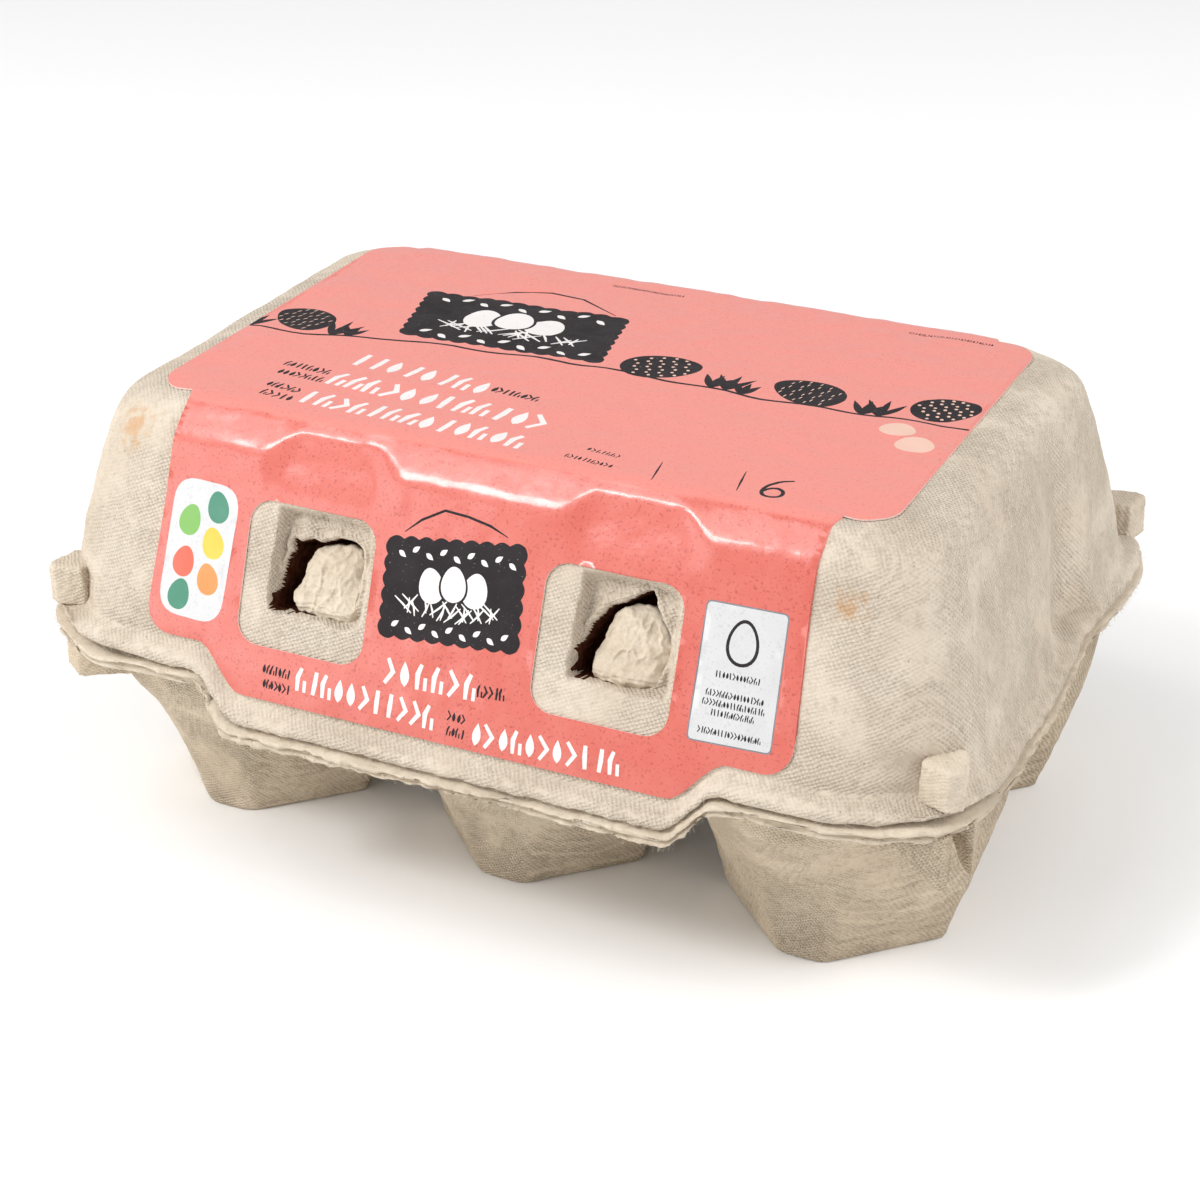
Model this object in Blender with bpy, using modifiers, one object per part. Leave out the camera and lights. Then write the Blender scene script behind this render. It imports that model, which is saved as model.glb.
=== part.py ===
"""Six-egg carton of moulded pulp, shut, with a paper label wrapped over its lid.

The carton stands on its six feet. X runs along the rows of three cells, -Y is the front with the two
latch windows, and +Z is up. The origin is on the floor, under the middle of the carton. Lengths are in
metres. The carton can't be seen into, so lid and tray are solid.
"""

from math import cos, pi, radians, sin

import bpy
from mathutils import Matrix, Vector

# Driving sizes
CELL_PITCH = 0.048
ROW_Y = 0.0233
RIM_Z = 0.0340
LID_TOP = 0.0692
PIECE_GAP = 0.0004

# Lid, in section from front to back
FOLD_FRONT = 0.0367
FOLD_BACK = 0.0352
RIDGE_OUT = 0.0046
RIDGE_DROP = 0.0041
FACE_SLOPE = 0.36
SET_BACK = 0.0026
SET_BACK_LIFT = 0.0026
SET_BACK_FADE = 0.0019
FLAP_RISE = 0.0040
FACE_ROWS = (0.15, 0.34, 0.55, 0.78, 1.0)

# Lid, along its length
PLATEAU_HALF = 0.0600
CREASE_OUT = 0.0032
CREASE_DROP = 0.0019
END_SPREAD = 0.0100
END_FULLNESS = 0.68
LOW_END_Z = RIM_Z + FLAP_RISE
CORNER_STEPS = 6
# Each corner: its reach in X and in Y, and its superellipse power
CORNER_TOP = (0.0115, 0.0115, 2.0)
CORNER_CREASE = (0.0105, 0.0110, 2.2)
CORNER_LOW = (0.0230, 0.0210, 2.4)
CORNER_RIM = (0.0275, 0.0245, 2.6)

# Valley between the two bulges of each end wall
VALLEY_Y = 0.0105
VALLEY_TOP = 0.0660
VALLEY_DEPTH = 0.0050
VALLEY_FRONT = (0.0110, 0.0180)
VALLEY_BACK = (0.0060, 0.0090)
RIM_DENT = 0.0014
RIM_DENT_HALF = 0.0200

# Rim lip, as height over the rim's lower edge and how proud of the wall it stands
LIP_ROWS = ((0.0026, 0.0), (0.0018, 0.0010), (0.0009, 0.0014), (0.0, 0.0011))
HINGE_FLANGE = 0.0036
STEP_DROP = 0.0060
STEP_HALF = 0.0335
STEP_RAMP = 0.0080
SEAT_SCALE = 0.76

# Latch windows in the front wall
WINDOW_X = 0.0235
LABEL_SHIFT = -0.0014
POCKET_SHIFT = 0.0005
WINDOW_HALF_WIDTH = 0.0103
WINDOW_LOW = 0.0393
WINDOW_HIGH = 0.0590
WINDOW_CORNER = 0.0035
WINDOW_STEPS = 3
POCKET_HALF_WIDTH = 0.0074
POCKET_LOW = 0.0418
POCKET_HIGH = 0.0582
POCKET_DEPTH = 0.0085
POCKET_DRAFT = 0.90
CUTTER_CLEAR = 0.0006
SET_BACK_HALF = 0.0062
SET_BACK_RAMP = 0.0054

# Latch knobs on uprights of the tray
KNOB_SIZE = (0.0114, 0.0050, 0.0118)
KNOB_Z = 0.0488
KNOB_DEPTH = 0.0052
KNOB_BEVEL = 0.0019
UPRIGHT_SIZE = (0.0080, 0.0034)
UPRIGHT_TOP = 0.0500
UPRIGHT_Y = -0.0418
SLOT_CLEARANCE = 0.0005
SLOT_FOOT = 0.0215

# Lugs at the lid's corners and gussets under the tray's
LUG_SIDE = 0.0062
LUG_TOP = 0.0414
LUG_FOOT = 0.0342
LUG_TURN = radians(-17)
LUG_FRONT = (0.0668, -0.0425)
LUG_BACK = (0.0668, 0.0490)
GUSSET_SIDE = 0.0085
GUSSET_TOP = 0.0315
GUSSET_FOOT = 0.0215
GUSSET_FRONT = (0.0660, -0.0425)
GUSSET_BACK = (0.0652, 0.0440)
BLOCK_BEVEL = 0.0008

# Tray
TRAY_PROUD = 0.0004
TRAY_LIP_DROP = 0.0010
RIM_THICKNESS = 0.0032
CUP_POINTS = 24
CUP_TOP_MARGIN = 0.0012
# Each cup section: height, half width in X, half depth in Y, superellipse power, blunt tip's reach
CUP_SECTIONS = (
    (0.0000, 0.0173, 0.0172, 1.00, 0.0138),
    (0.0040, 0.0186, 0.0180, 1.10, 0.0144),
    (0.0085, 0.0200, 0.0186, 1.30, 0.0152),
    (0.0140, 0.0217, 0.0196, 1.65, 0.0172),
    (0.0190, 0.0232, 0.0224, 2.05, 0.0215),
    (0.0240, 0.0247, 0.0262, 2.50, 0.0262),
    (0.0285, 0.0259, 0.0300, 3.00, 0.0300),
    (0.0325, 0.0264, 0.0316, 3.30, 0.0316),
)

# Paper label
LABEL_LIFT = 0.0003
LABEL_THICKNESS = 0.0003
LABEL_HALF_TOP = 0.0570
LABEL_HALF_FLAP = 0.0504
LABEL_TOP_FRONT = 0.0350
LABEL_TOP_BACK = 0.0332
LABEL_CORNER = 0.0050
FLAP_CORNER = 0.0040
BACK_FLAP_LOW = 0.0420
BACK_FLAP_ROWS = (0.0, 0.5, 1.0)
CORNER_ANGLES = (70, 45, 20, 0)
FLAP_COLUMNS = (0.0464, 0.0480, 0.0492, 0.0500, 0.0504)

# Points along the front, the back and each end
FRONT_STATIONS = (
    0.0, 0.0050, 0.0100, 0.0124, 0.0148, 0.0174, 0.0205, 0.0236, 0.0267, 0.0298,
    0.0324, 0.0340, 0.0358, 0.0375, 0.0392, 0.0412, 0.0445,
)
BACK_STATIONS = (0.0, 0.0150, 0.0300)
END_STATIONS = (-0.0170, -0.0100, -0.0045, 0.0, 0.0040, 0.0075, 0.0105, 0.0130, 0.0160, 0.0205)

FACE_Y = FOLD_FRONT + RIDGE_OUT
BACK_FACE_Y = FOLD_BACK + RIDGE_OUT
RIDGE_Z = LID_TOP - RIDGE_DROP


def smooth(t):
    """Ease from 0 to 1 as t goes from 0 to 1."""
    t = min(max(t, 0.0), 1.0)
    return t * t * (3 - 2 * t)


def rim_height(x):
    """Height of the front rim's lower edge at x: it hangs lower along the middle."""
    return RIM_Z - STEP_DROP * (1 - smooth((abs(x) - STEP_HALF) / STEP_RAMP))


def beside_window(x):
    """1 at a latch window's middle, easing to 0 away from it."""
    return 1 - smooth((abs(abs(x) - WINDOW_X) - SET_BACK_HALF) / SET_BACK_RAMP)


def wall_y(z):
    """Distance of the plain front wall in front of the origin at height z."""
    return FACE_Y + FACE_SLOPE * (RIDGE_Z - z)


def front_wall(x, z):
    """Y of the front wall at x and z, set back a little above each window."""
    fade = smooth((z - WINDOW_HIGH) / (RIDGE_Z + SET_BACK_LIFT - WINDOW_HIGH))
    return -wall_y(z) + beside_window(x) * SET_BACK_FADE * fade


def front_ridge(x):
    """Ridge under the front fold: it steps back and up over each window."""
    near = beside_window(x)
    return -(FACE_Y - near * SET_BACK), RIDGE_Z + near * SET_BACK_LIFT


def front_row(share):
    """Line along the front wall, a share of the way from the ridge to the label's lower edge."""
    def place(x):
        ridge_z = front_ridge(x)[1]
        z = ridge_z + share * (rim_height(x) + FLAP_RISE - ridge_z)
        return front_wall(x, z), z
    return place


def back_row(share):
    """Line along the back wall, at the same share of the way down."""
    z = RIDGE_Z + share * (LOW_END_Z - RIDGE_Z)
    return lambda x: (BACK_FACE_Y + FACE_SLOPE * (RIDGE_Z - z), z)


def valley(z):
    """Function of y: how far the end wall dips inwards at height z."""
    low = min(max((VALLEY_TOP - z) / (VALLEY_TOP - RIM_Z), 0.0), 1.0)
    front = VALLEY_FRONT[0] + low * (VALLEY_FRONT[1] - VALLEY_FRONT[0])
    back = VALLEY_BACK[0] + low * (VALLEY_BACK[1] - VALLEY_BACK[0])
    return lambda y: VALLEY_DEPTH * low * smooth(1 - max((VALLEY_Y - y) / front, (y - VALLEY_Y) / back))


def rim_dent(y):
    """How far the rim itself dips inwards at the middle of each end."""
    return RIM_DENT * (1 - smooth(abs(y - VALLEY_Y) / RIM_DENT_HALF))


def end_reach(z):
    """Half length of the lid's end walls at height z: a little full, not straight."""
    crease_z = LID_TOP - CREASE_DROP
    share = (crease_z - z) / (crease_z - RIM_Z)
    return PLATEAU_HALF + CREASE_OUT + END_SPREAD * max(share, 0.0) ** END_FULLNESS


def signed_power(value, power):
    """Power of a value's size, with the value's own sign."""
    return abs(value) ** power * (1 if value >= 0 else -1)


def arc(centre_x, centre_y, corner, start, first_z, last_z):
    """Quarter turn of a superellipse from the angle start, its height easing from first_z to last_z."""
    reach_x, reach_y, power = corner
    points = []
    for step in range(CORNER_STEPS + 1):
        share = step / CORNER_STEPS
        angle = start + share * pi / 2
        x = centre_x + reach_x * signed_power(round(cos(angle), 9), 2 / power)
        y = centre_y + reach_y * signed_power(round(sin(angle), 9), 2 / power)
        points.append((x, y, first_z + smooth(share) * (last_z - first_z)))
    return points


def between(first, last, share):
    """Values a share of the way from first to last."""
    return tuple(a + share * (b - a) for a, b in zip(first, last))


def ring(front, back, length, end_z, corner, dent):
    """Closed loop round the lid at one level, anticlockwise from the middle of the front.

    front(x) and back(x) give (y, z), length is the half length at the ends, and dent(y) is taken off it.
    """
    centre_x = length - corner[0]
    front_y, front_z = front(centre_x)
    back_y, back_z = back(centre_x)
    half = [(x, *front(x)) for x in FRONT_STATIONS]
    half += arc(centre_x, front_y + corner[1], corner, -pi / 2, front_z, end_z)
    half += [(length - dent(y), y, end_z) for y in END_STATIONS]
    half += arc(centre_x, back_y - corner[1], corner, 0, end_z, back_z)
    half += [(x, *back(x)) for x in reversed(BACK_STATIONS)]
    return half + [(-x, y, z) for x, y, z in reversed(half[1:-1])]


def lip_ring(rise, proud):
    """Loop round the rim lip, rise above its lower edge and proud of the wall."""
    z = RIM_Z + rise
    dent = valley(z) if proud == 0 else rim_dent
    flange = HINGE_FLANGE if proud else 0.0
    return ring(
        lambda x: (-wall_y(rim_height(x) + rise) - proud, rim_height(x) + rise),
        lambda x: (BACK_FACE_Y + FACE_SLOPE * (RIDGE_Z - z) + proud + flange, z),
        end_reach(RIM_Z) + proud, z, CORNER_RIM, dent,
    )


def wall_rings():
    """Loops of the lid from its flat top down to the line where the rim lip starts."""
    crease_z = LID_TOP - CREASE_DROP
    yield ring(lambda x: (-FOLD_FRONT, LID_TOP), lambda x: (FOLD_BACK, LID_TOP),
               PLATEAU_HALF, LID_TOP, CORNER_TOP, lambda y: 0.0)
    yield ring(front_ridge, lambda x: (BACK_FACE_Y, RIDGE_Z),
               PLATEAU_HALF + CREASE_OUT, crease_z, CORNER_CREASE, lambda y: 0.0)
    for share in FACE_ROWS:
        z = crease_z + share * (LOW_END_Z - crease_z)
        corner = between(CORNER_CREASE, CORNER_LOW, share)
        yield ring(front_row(share), back_row(share), end_reach(z), z, corner, valley(z))


def seat_ring(rim):
    """Flat loop inside the rim, where lid and tray meet level."""
    return [(SEAT_SCALE * x, SEAT_SCALE * y, RIM_Z) for x, y, z in rim]


def shifted(points, dx=0.0, dy=0.0, dz=0.0):
    """The same points moved."""
    return [(x + dx, y + dy, z + dz) for x, y, z in points]


def new_object(name, mesh, collection):
    """Object of a mesh, linked to a collection."""
    made = bpy.data.objects.new(name, mesh)
    collection.objects.link(made)
    return made


def loft(name, rings, collection, peak=None, rising=False):
    """Closed solid through loops of equal count, from the first at the top to the last at the bottom.

    Every face between two loops is split along the same diagonal, which rises or falls along the loop. The
    top is one flat face, or a fan to peak.
    """
    rings = [list(points) for points in rings]
    count = len(rings[0])
    vertices = [point for points in rings for point in points]
    faces = []
    for row in range(len(rings) - 1):
        for column in range(count):
            after = (column + 1) % count
            upper, upper_after = row * count + column, row * count + after
            lower, lower_after = upper + count, upper_after + count
            if rising:
                faces.append((upper, lower, upper_after))
                faces.append((lower, lower_after, upper_after))
            else:
                faces.append((upper, lower, lower_after))
                faces.append((upper, lower_after, upper_after))
    if peak is None:
        faces.append(tuple(range(count)))
    else:
        vertices.append(peak)
        faces += [(column, (column + 1) % count, len(vertices) - 1) for column in range(count)]
    last = (len(rings) - 1) * count
    faces.append(tuple(last + column for column in reversed(range(count))))
    mesh = bpy.data.meshes.new(name)
    mesh.from_pydata(vertices, [], faces)
    return new_object(name, mesh, collection)


def block(name, size, matrix, collection, bevel=0.0, taper=1.0):
    """Box of a size, centred on its matrix, its lower face scaled by taper and its edges rounded."""
    bpy.ops.mesh.primitive_cube_add(size=1)
    made = bpy.context.object
    made.name = name
    for vertex in made.data.vertices:
        share = taper if vertex.co.z < 0 else 1.0
        vertex.co = (vertex.co.x * size[0] * share, vertex.co.y * size[1] * share, vertex.co.z * size[2])
    made.matrix_world = matrix
    for owner in list(made.users_collection):
        owner.objects.unlink(made)
    collection.objects.link(made)
    if bevel:
        rounding = made.modifiers.new("rounded edges", "BEVEL")
        rounding.width = bevel
        rounding.segments = 2
    return made


def plain_copy(source):
    """Mesh of an object as its modifiers leave it."""
    bpy.context.view_layer.update()
    evaluated = source.evaluated_get(bpy.context.evaluated_depsgraph_get())
    return bpy.data.meshes.new_from_object(evaluated)


def united(name, base, others, collection):
    """One solid of a base and the pieces of a collection, which are then removed."""
    union = base.modifiers.new("pieces", "BOOLEAN")
    union.operation = "UNION"
    union.operand_type = "COLLECTION"
    union.collection = others
    union.solver = "EXACT"
    joined = new_object(name, plain_copy(base), collection)
    for piece in [base, *others.objects]:
        bpy.data.objects.remove(piece)
    bpy.data.collections.remove(others)
    return joined


def cut(target, cutter):
    """Take a cutter's shape out of a target."""
    away = target.modifiers.new(cutter.name, "BOOLEAN")
    away.operation = "DIFFERENCE"
    away.object = cutter
    away.solver = "EXACT"


def hidden(cutter):
    """Mark an object as a cutter."""
    cutter.hide_render = True
    cutter.display_type = "WIRE"
    return cutter


def corner_blocks(prefix, side, foot, top, places, taper, collection):
    """Four upright blocks near the corners, mirrored left to right."""
    for label, (x, y) in zip(("front", "back"), places):
        for hand, word in ((1, "right"), (-1, "left")):
            turn = LUG_TURN * hand * (1 if y < 0 else -1)
            middle = Vector((x * hand, y, (foot + top) / 2))
            matrix = Matrix.Translation(middle) @ Matrix.Rotation(turn, 4, "Z")
            name = f"{prefix}_{label}_{word}"
            block(name, (side, side, top - foot), matrix, collection, BLOCK_BEVEL, taper)


def face_frame(x, z):
    """Matrix on the front wall at x and z: its Y axis points straight into the carton."""
    upward = Vector((0, FACE_SLOPE, 1)).normalized()
    inward = Vector((1, 0, 0)).cross(upward) * -1
    columns = Matrix((Vector((1, 0, 0)), inward, upward)).transposed()
    return Matrix.Translation((x, -wall_y(z), z)) @ columns.to_4x4()


def window_outline(half_width, low, high, corner):
    """Rounded rectangle on the front wall, anticlockwise as seen from the front, about its middle."""
    stretch = (1 + FACE_SLOPE ** 2) ** 0.5
    half_height = (high - low) / 2 * stretch
    points = []
    for quarter, (sx, sz) in enumerate(((1, -1), (1, 1), (-1, 1), (-1, -1))):
        for step in range(WINDOW_STEPS + 1):
            angle = (quarter - 1 + step / WINDOW_STEPS) * pi / 2
            points.append((sx * (half_width - corner) + corner * cos(angle),
                           sz * (half_height - corner) + corner * sin(angle)))
    return points


def window_cutter(name, x, half_width, low, high, outward, inward, draft, collection):
    """Plug through the front wall at a window, narrowing inwards by draft."""
    frame = face_frame(x, (low + high) / 2)
    rings = []
    for depth, scale in ((-outward, 1.0), (-CUTTER_CLEAR, 1.0), (inward, draft)):
        outline = window_outline(half_width, low, high, WINDOW_CORNER)
        rings.append([tuple(frame @ Vector((u * scale, depth, v * scale))) for u, v in outline])
    return hidden(loft(name, rings, collection))


def make_lid(collection, cutters):
    """Lid: hipped walls with a step in the front rim, corner lugs and two latch pockets."""
    rims = [lip_ring(rise, proud) for rise, proud in LIP_ROWS]
    body = loft("lid_body", [*wall_rings(), *rims, seat_ring(rims[-1])], collection)
    lugs = bpy.data.collections.new("lugs")
    bpy.context.scene.collection.children.link(lugs)
    corner_blocks("lug", LUG_SIDE, LUG_FOOT, LUG_TOP, (LUG_FRONT, LUG_BACK), 1.0, lugs)
    lid = united("lid", body, lugs, collection)
    for hand, word in ((1, "right"), (-1, "left")):
        x = WINDOW_X * hand + POCKET_SHIFT
        pocket = window_cutter(f"pocket_{word}", x, POCKET_HALF_WIDTH, POCKET_LOW, POCKET_HIGH,
                               POCKET_DEPTH, POCKET_DEPTH, POCKET_DRAFT, cutters)
        cut(lid, pocket)
        slot_size = (UPRIGHT_SIZE[0] + 2 * SLOT_CLEARANCE, UPRIGHT_SIZE[1] + 2 * SLOT_CLEARANCE,
                     UPRIGHT_TOP - SLOT_FOOT)
        middle = Vector((x, UPRIGHT_Y, (UPRIGHT_TOP + SLOT_FOOT) / 2))
        slot = hidden(block(f"slot_{word}", slot_size, Matrix.Translation(middle), cutters))
        cut(lid, slot)
    return lid


def cup_ring(section, centre_x, hand):
    """Loop of one cup section: a superellipse with blunt tips, its top kept under the rim."""
    z, half_x, half_y, power, tip = section
    points = []
    for step in range(CUP_POINTS):
        angle = 2 * pi * step / CUP_POINTS
        x = half_x * signed_power(round(cos(angle), 9), 2 / power)
        y = half_y * signed_power(round(sin(angle), 9), 2 / power)
        y = min(max(y, -tip), tip)
        place_x, place_y = centre_x + x, ROW_Y * hand + y
        ceiling = RIM_Z if hand > 0 else rim_height(place_x)
        points.append((place_x, place_y, min(z, ceiling - CUP_TOP_MARGIN - PIECE_GAP)))
    return points


def make_cups(collection):
    """Six cups, each flaring from a diamond foot to a round-cornered bowl."""
    for row, hand in (("front", -1), ("back", 1)):
        for number in range(3):
            centre_x = (number - 1) * CELL_PITCH
            rings = [cup_ring(section, centre_x, hand) for section in reversed(CUP_SECTIONS)]
            peak = (centre_x, ROW_Y * hand, RIM_Z - RIM_THICKNESS / 2)
            loft(f"cup_{row}_{number + 1}", rings, collection, peak)


def make_latches(collection):
    """Two uprights through the lid's slots, each with a rounded knob in its window."""
    for hand, word in ((1, "right"), (-1, "left")):
        x = WINDOW_X * hand + POCKET_SHIFT
        foot = RIM_Z - RIM_THICKNESS
        size = (*UPRIGHT_SIZE, UPRIGHT_TOP - foot)
        middle = Vector((x, UPRIGHT_Y, (UPRIGHT_TOP + foot) / 2))
        block(f"upright_{word}", size, Matrix.Translation(middle), collection)
        place = face_frame(x, KNOB_Z) @ Matrix.Translation((0, KNOB_DEPTH, 0))
        block(f"knob_{word}", KNOB_SIZE, place, collection, KNOB_BEVEL)


def make_tray(collection):
    """Tray: a rim plate over six cups, with gussets at its corners and the two latches."""
    rim = lip_ring(*LIP_ROWS[-1])
    proud = lip_ring(LIP_ROWS[-1][0], LIP_ROWS[-1][1] + TRAY_PROUD)
    under = shifted(proud, dz=-RIM_THICKNESS)
    low_seat = shifted(seat_ring(rim), dz=-RIM_THICKNESS)
    rings = [
        shifted(seat_ring(rim), dz=-PIECE_GAP),
        shifted(rim, dz=-PIECE_GAP),
        shifted(proud, dz=-TRAY_LIP_DROP),
        shifted(under, dz=PIECE_GAP),
        shifted(rim, dz=-RIM_THICKNESS),
        low_seat,
    ]
    plate = loft("rim_plate", rings, collection, rising=True)
    pieces = bpy.data.collections.new("tray pieces")
    bpy.context.scene.collection.children.link(pieces)
    make_cups(pieces)
    make_latches(pieces)
    corner_blocks("gusset", GUSSET_SIDE, GUSSET_FOOT, GUSSET_TOP, (GUSSET_FRONT, GUSSET_BACK), 0.7, pieces)
    return united("tray", plate, pieces, collection)


def label_half_width(y):
    """Half width of the label's top panel at y, with rounded corners at its four ends."""
    edge = LABEL_TOP_FRONT if y < 0 else LABEL_TOP_BACK
    past = abs(y) - (edge - LABEL_CORNER)
    if past <= 0:
        return LABEL_HALF_TOP
    if past >= LABEL_CORNER:
        return LABEL_HALF_FLAP
    return LABEL_HALF_TOP - LABEL_CORNER + (LABEL_CORNER ** 2 - past ** 2) ** 0.5


def flap_low(x, low):
    """Lower edge of a flap at x, turning up round the corner at its side."""
    past = abs(x) - (LABEL_HALF_FLAP - FLAP_CORNER)
    if past <= 0:
        return low
    return low + FLAP_CORNER - (FLAP_CORNER ** 2 - min(past, FLAP_CORNER) ** 2) ** 0.5


def label_rows():
    """Rows of the label's inner face from the front flap's lower edge over the top to the back."""
    columns = [*FRONT_STATIONS, *FLAP_COLUMNS]
    columns = [-x for x in reversed(columns[1:])] + columns
    widest = columns[-1]
    rows = []
    for share in reversed((0.0, *FACE_ROWS)):
        row = []
        for x in columns:
            ridge_z = front_ridge(x)[1]
            z = ridge_z + share * (flap_low(x, rim_height(x) + FLAP_RISE) - ridge_z)
            y = front_ridge(x)[0] if share == 0 else front_wall(x, z)
            row.append((x, y, z))
        rows.append(row)
    turns = [LABEL_CORNER * (1 - sin(radians(angle))) for angle in CORNER_ANGLES]
    edges = [-FOLD_FRONT, -LABEL_TOP_FRONT]
    edges += [turn - LABEL_TOP_FRONT for turn in turns]
    edges += [LABEL_TOP_BACK - turn for turn in reversed(turns)]
    edges += [LABEL_TOP_BACK, FOLD_BACK]
    for y in edges:
        scale = label_half_width(y) / widest
        rows.append([(x * scale, y, LID_TOP) for x in columns])
    for share in BACK_FLAP_ROWS:
        row = []
        for x in columns:
            z = RIDGE_Z + share * (flap_low(x, BACK_FLAP_LOW) - RIDGE_Z)
            row.append((x, BACK_FACE_Y + FACE_SLOPE * (RIDGE_Z - z), z))
        rows.append(row)
    return rows


def lifted(rows, distance):
    """Rows moved off the lid, along the normal of their own section."""
    result = []
    for index, row in enumerate(rows):
        before, after = rows[max(index - 1, 0)], rows[min(index + 1, len(rows) - 1)]
        moved = []
        for first, here, last in zip(before, row, after):
            here = Vector(here)
            normals = []
            for start, end in ((Vector(first), here), (here, Vector(last))):
                if (end - start).length > 0:
                    normals.append(Vector((0, start.z - end.z, end.y - start.y)).normalized())
            middle = sum(normals, Vector()).normalized()
            moved.append(tuple(here + middle * distance / middle.dot(normals[0])))
        result.append(moved)
    return result


def make_label(collection, cutters):
    """Paper label: an open sheet over front, top and back, given its thickness, with two windows."""
    rows = lifted(label_rows(), LABEL_LIFT)
    count = len(rows[0])
    faces = []
    for row in range(len(rows) - 1):
        for column in range(count - 1):
            here = row * count + column
            faces.append((here, here + 1, here + count + 1))
            faces.append((here, here + count + 1, here + count))
    mesh = bpy.data.meshes.new("label")
    mesh.from_pydata([point for row in rows for point in row], [], faces)
    label = new_object("label", mesh, collection)
    paper = label.modifiers.new("paper", "SOLIDIFY")
    paper.thickness = LABEL_THICKNESS
    paper.offset = 1
    for hand, word in ((1, "right"), (-1, "left")):
        x = WINDOW_X * hand + LABEL_SHIFT
        opening = window_cutter(f"window_{word}", x, WINDOW_HALF_WIDTH, WINDOW_LOW, WINDOW_HIGH,
                                POCKET_DEPTH, POCKET_DEPTH, 1.0, cutters)
        cut(label, opening)
    return label


def material(name, colour, roughness):
    """Principled material of one colour."""
    made = bpy.data.materials.new(name)
    made.use_nodes = True
    shader = made.node_tree.nodes["Principled BSDF"]
    shader.inputs["Base Color"].default_value = (*colour, 1.0)
    shader.inputs["Roughness"].default_value = roughness
    shader.inputs["Metallic"].default_value = 0.0
    made.diffuse_color = (*colour, 1.0)
    return made


def main():
    """Build the carton."""
    for old in list(bpy.data.objects):
        bpy.data.objects.remove(old)
    carton = bpy.data.collections.new("egg carton")
    cutters = bpy.data.collections.new("cutters")
    bpy.context.scene.collection.children.link(carton)
    bpy.context.scene.collection.children.link(cutters)
    lid = make_lid(carton, cutters)
    tray = make_tray(carton)
    label = make_label(carton, cutters)
    lid.data.materials.clear()
    tray.data.materials.clear()
    lid.data.materials.append(material("lid pulp", (0.60, 0.52, 0.41), 0.95))
    tray.data.materials.append(material("tray pulp", (0.47, 0.38, 0.28), 0.95))
    label.data.materials.append(material("label paper", (0.87, 0.24, 0.18), 0.45))


if __name__ == "__main__":
    main()
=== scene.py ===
"""Looks of a six-egg carton of moulded pulp, shut, with a printed paper label wrapped over its lid.

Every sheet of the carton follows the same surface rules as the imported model, in metres: X runs along the
rows of three cells, -Y is the front with the two latch windows, and +Z is up from the floor.
"""

import sys
import logging
import math
from dataclasses import dataclass, field
from enum import Enum
from typing import Callable, Iterable, Sequence

import bmesh
import bpy
import numpy as np
from mathutils import Matrix, Vector, noise
from mathutils.bvhtree import BVHTree
from mathutils.geometry import delaunay_2d_cdt


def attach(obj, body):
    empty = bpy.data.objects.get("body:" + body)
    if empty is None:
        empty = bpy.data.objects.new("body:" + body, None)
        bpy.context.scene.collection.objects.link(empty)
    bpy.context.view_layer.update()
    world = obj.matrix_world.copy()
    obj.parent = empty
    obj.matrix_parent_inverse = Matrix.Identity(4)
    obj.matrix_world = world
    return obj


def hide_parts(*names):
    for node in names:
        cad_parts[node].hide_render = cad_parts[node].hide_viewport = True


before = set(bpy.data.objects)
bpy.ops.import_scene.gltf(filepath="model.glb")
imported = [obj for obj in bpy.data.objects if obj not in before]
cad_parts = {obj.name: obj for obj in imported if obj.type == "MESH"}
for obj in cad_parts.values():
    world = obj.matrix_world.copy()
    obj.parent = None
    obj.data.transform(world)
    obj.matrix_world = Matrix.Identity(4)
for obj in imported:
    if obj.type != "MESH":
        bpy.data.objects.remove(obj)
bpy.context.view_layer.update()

LOG = logging.getLogger("egg carton")
MM = 0.001
BODY = "root"
WALL_FRONT = -0.035  # y in front of which a place belongs to the front wall
RIM_OVAL = (0.073, 0.055)  # half sizes of an oval just inside the rim
LEVEL_SHARE = 0.24  # share of the rim's reach over which its stepped edge evens out inwards
Colour = tuple[float, float, float]
Points = np.ndarray
Faces = list[tuple[int, ...]]
Socket = bpy.types.NodeSocket
Rule = Callable[[np.ndarray], np.ndarray]


# ---------------------------------------------------------------- plain helpers

def ease(t: np.ndarray | float) -> np.ndarray:
    """Ease from 0 to 1 as t goes from 0 to 1."""
    t = np.clip(t, 0.0, 1.0)
    return t * t * (3 - 2 * t)


def powered(value: np.ndarray, power: float) -> np.ndarray:
    """Power of each value's size, with the value's own sign."""
    return np.sign(value) * np.abs(np.round(value, 9)) ** power


def grain(points: Points, size: float, seed: float, octaves: int = 2,
          stretch: Sequence[float] = (1, 1, 1)) -> np.ndarray:
    """Smooth random field, about -1 to 1, at each point.

    Args:
        points: places in metres, one row each.
        size: width of one lump in metres.
        seed: shifts the field, so that two fields differ.
        octaves: layers of ever finer lumps.
        stretch: how many times larger the lumps are along each axis.

    Returns:
        One value per point.
    """
    scaled = points / (size * np.asarray(stretch)) + seed * 17.31
    return np.array([noise.fractal(Vector(p), 1.0, 2.1, octaves) for p in scaled]) * 1.6


def bent(a: Points, b: Points, c: Points, d: Points, t: float) -> Points:
    """Place a share t of the way from b to c on the curve that passes through four points."""
    return 0.5 * (2 * b + (c - a) * t + (2 * a - 5 * b + 4 * c - d) * t ** 2 + (3 * b - a - 3 * c + d) * t ** 3)


def smooth_loop(outline: Sequence[Sequence[float]], steps: int = 5) -> Points:
    """Closed curve through an outline's corners.

    Args:
        outline: the corners in order.
        steps: points for each corner.

    Returns:
        The curve's points, one row each.
    """
    p = np.asarray(outline, float)
    before, after, far = np.roll(p, 1, 0), np.roll(p, -1, 0), np.roll(p, -2, 0)
    curve = [bent(before, p, after, far, t) for t in np.arange(steps) / steps]
    return np.stack(curve, 1).reshape(-1, 2)


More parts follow.
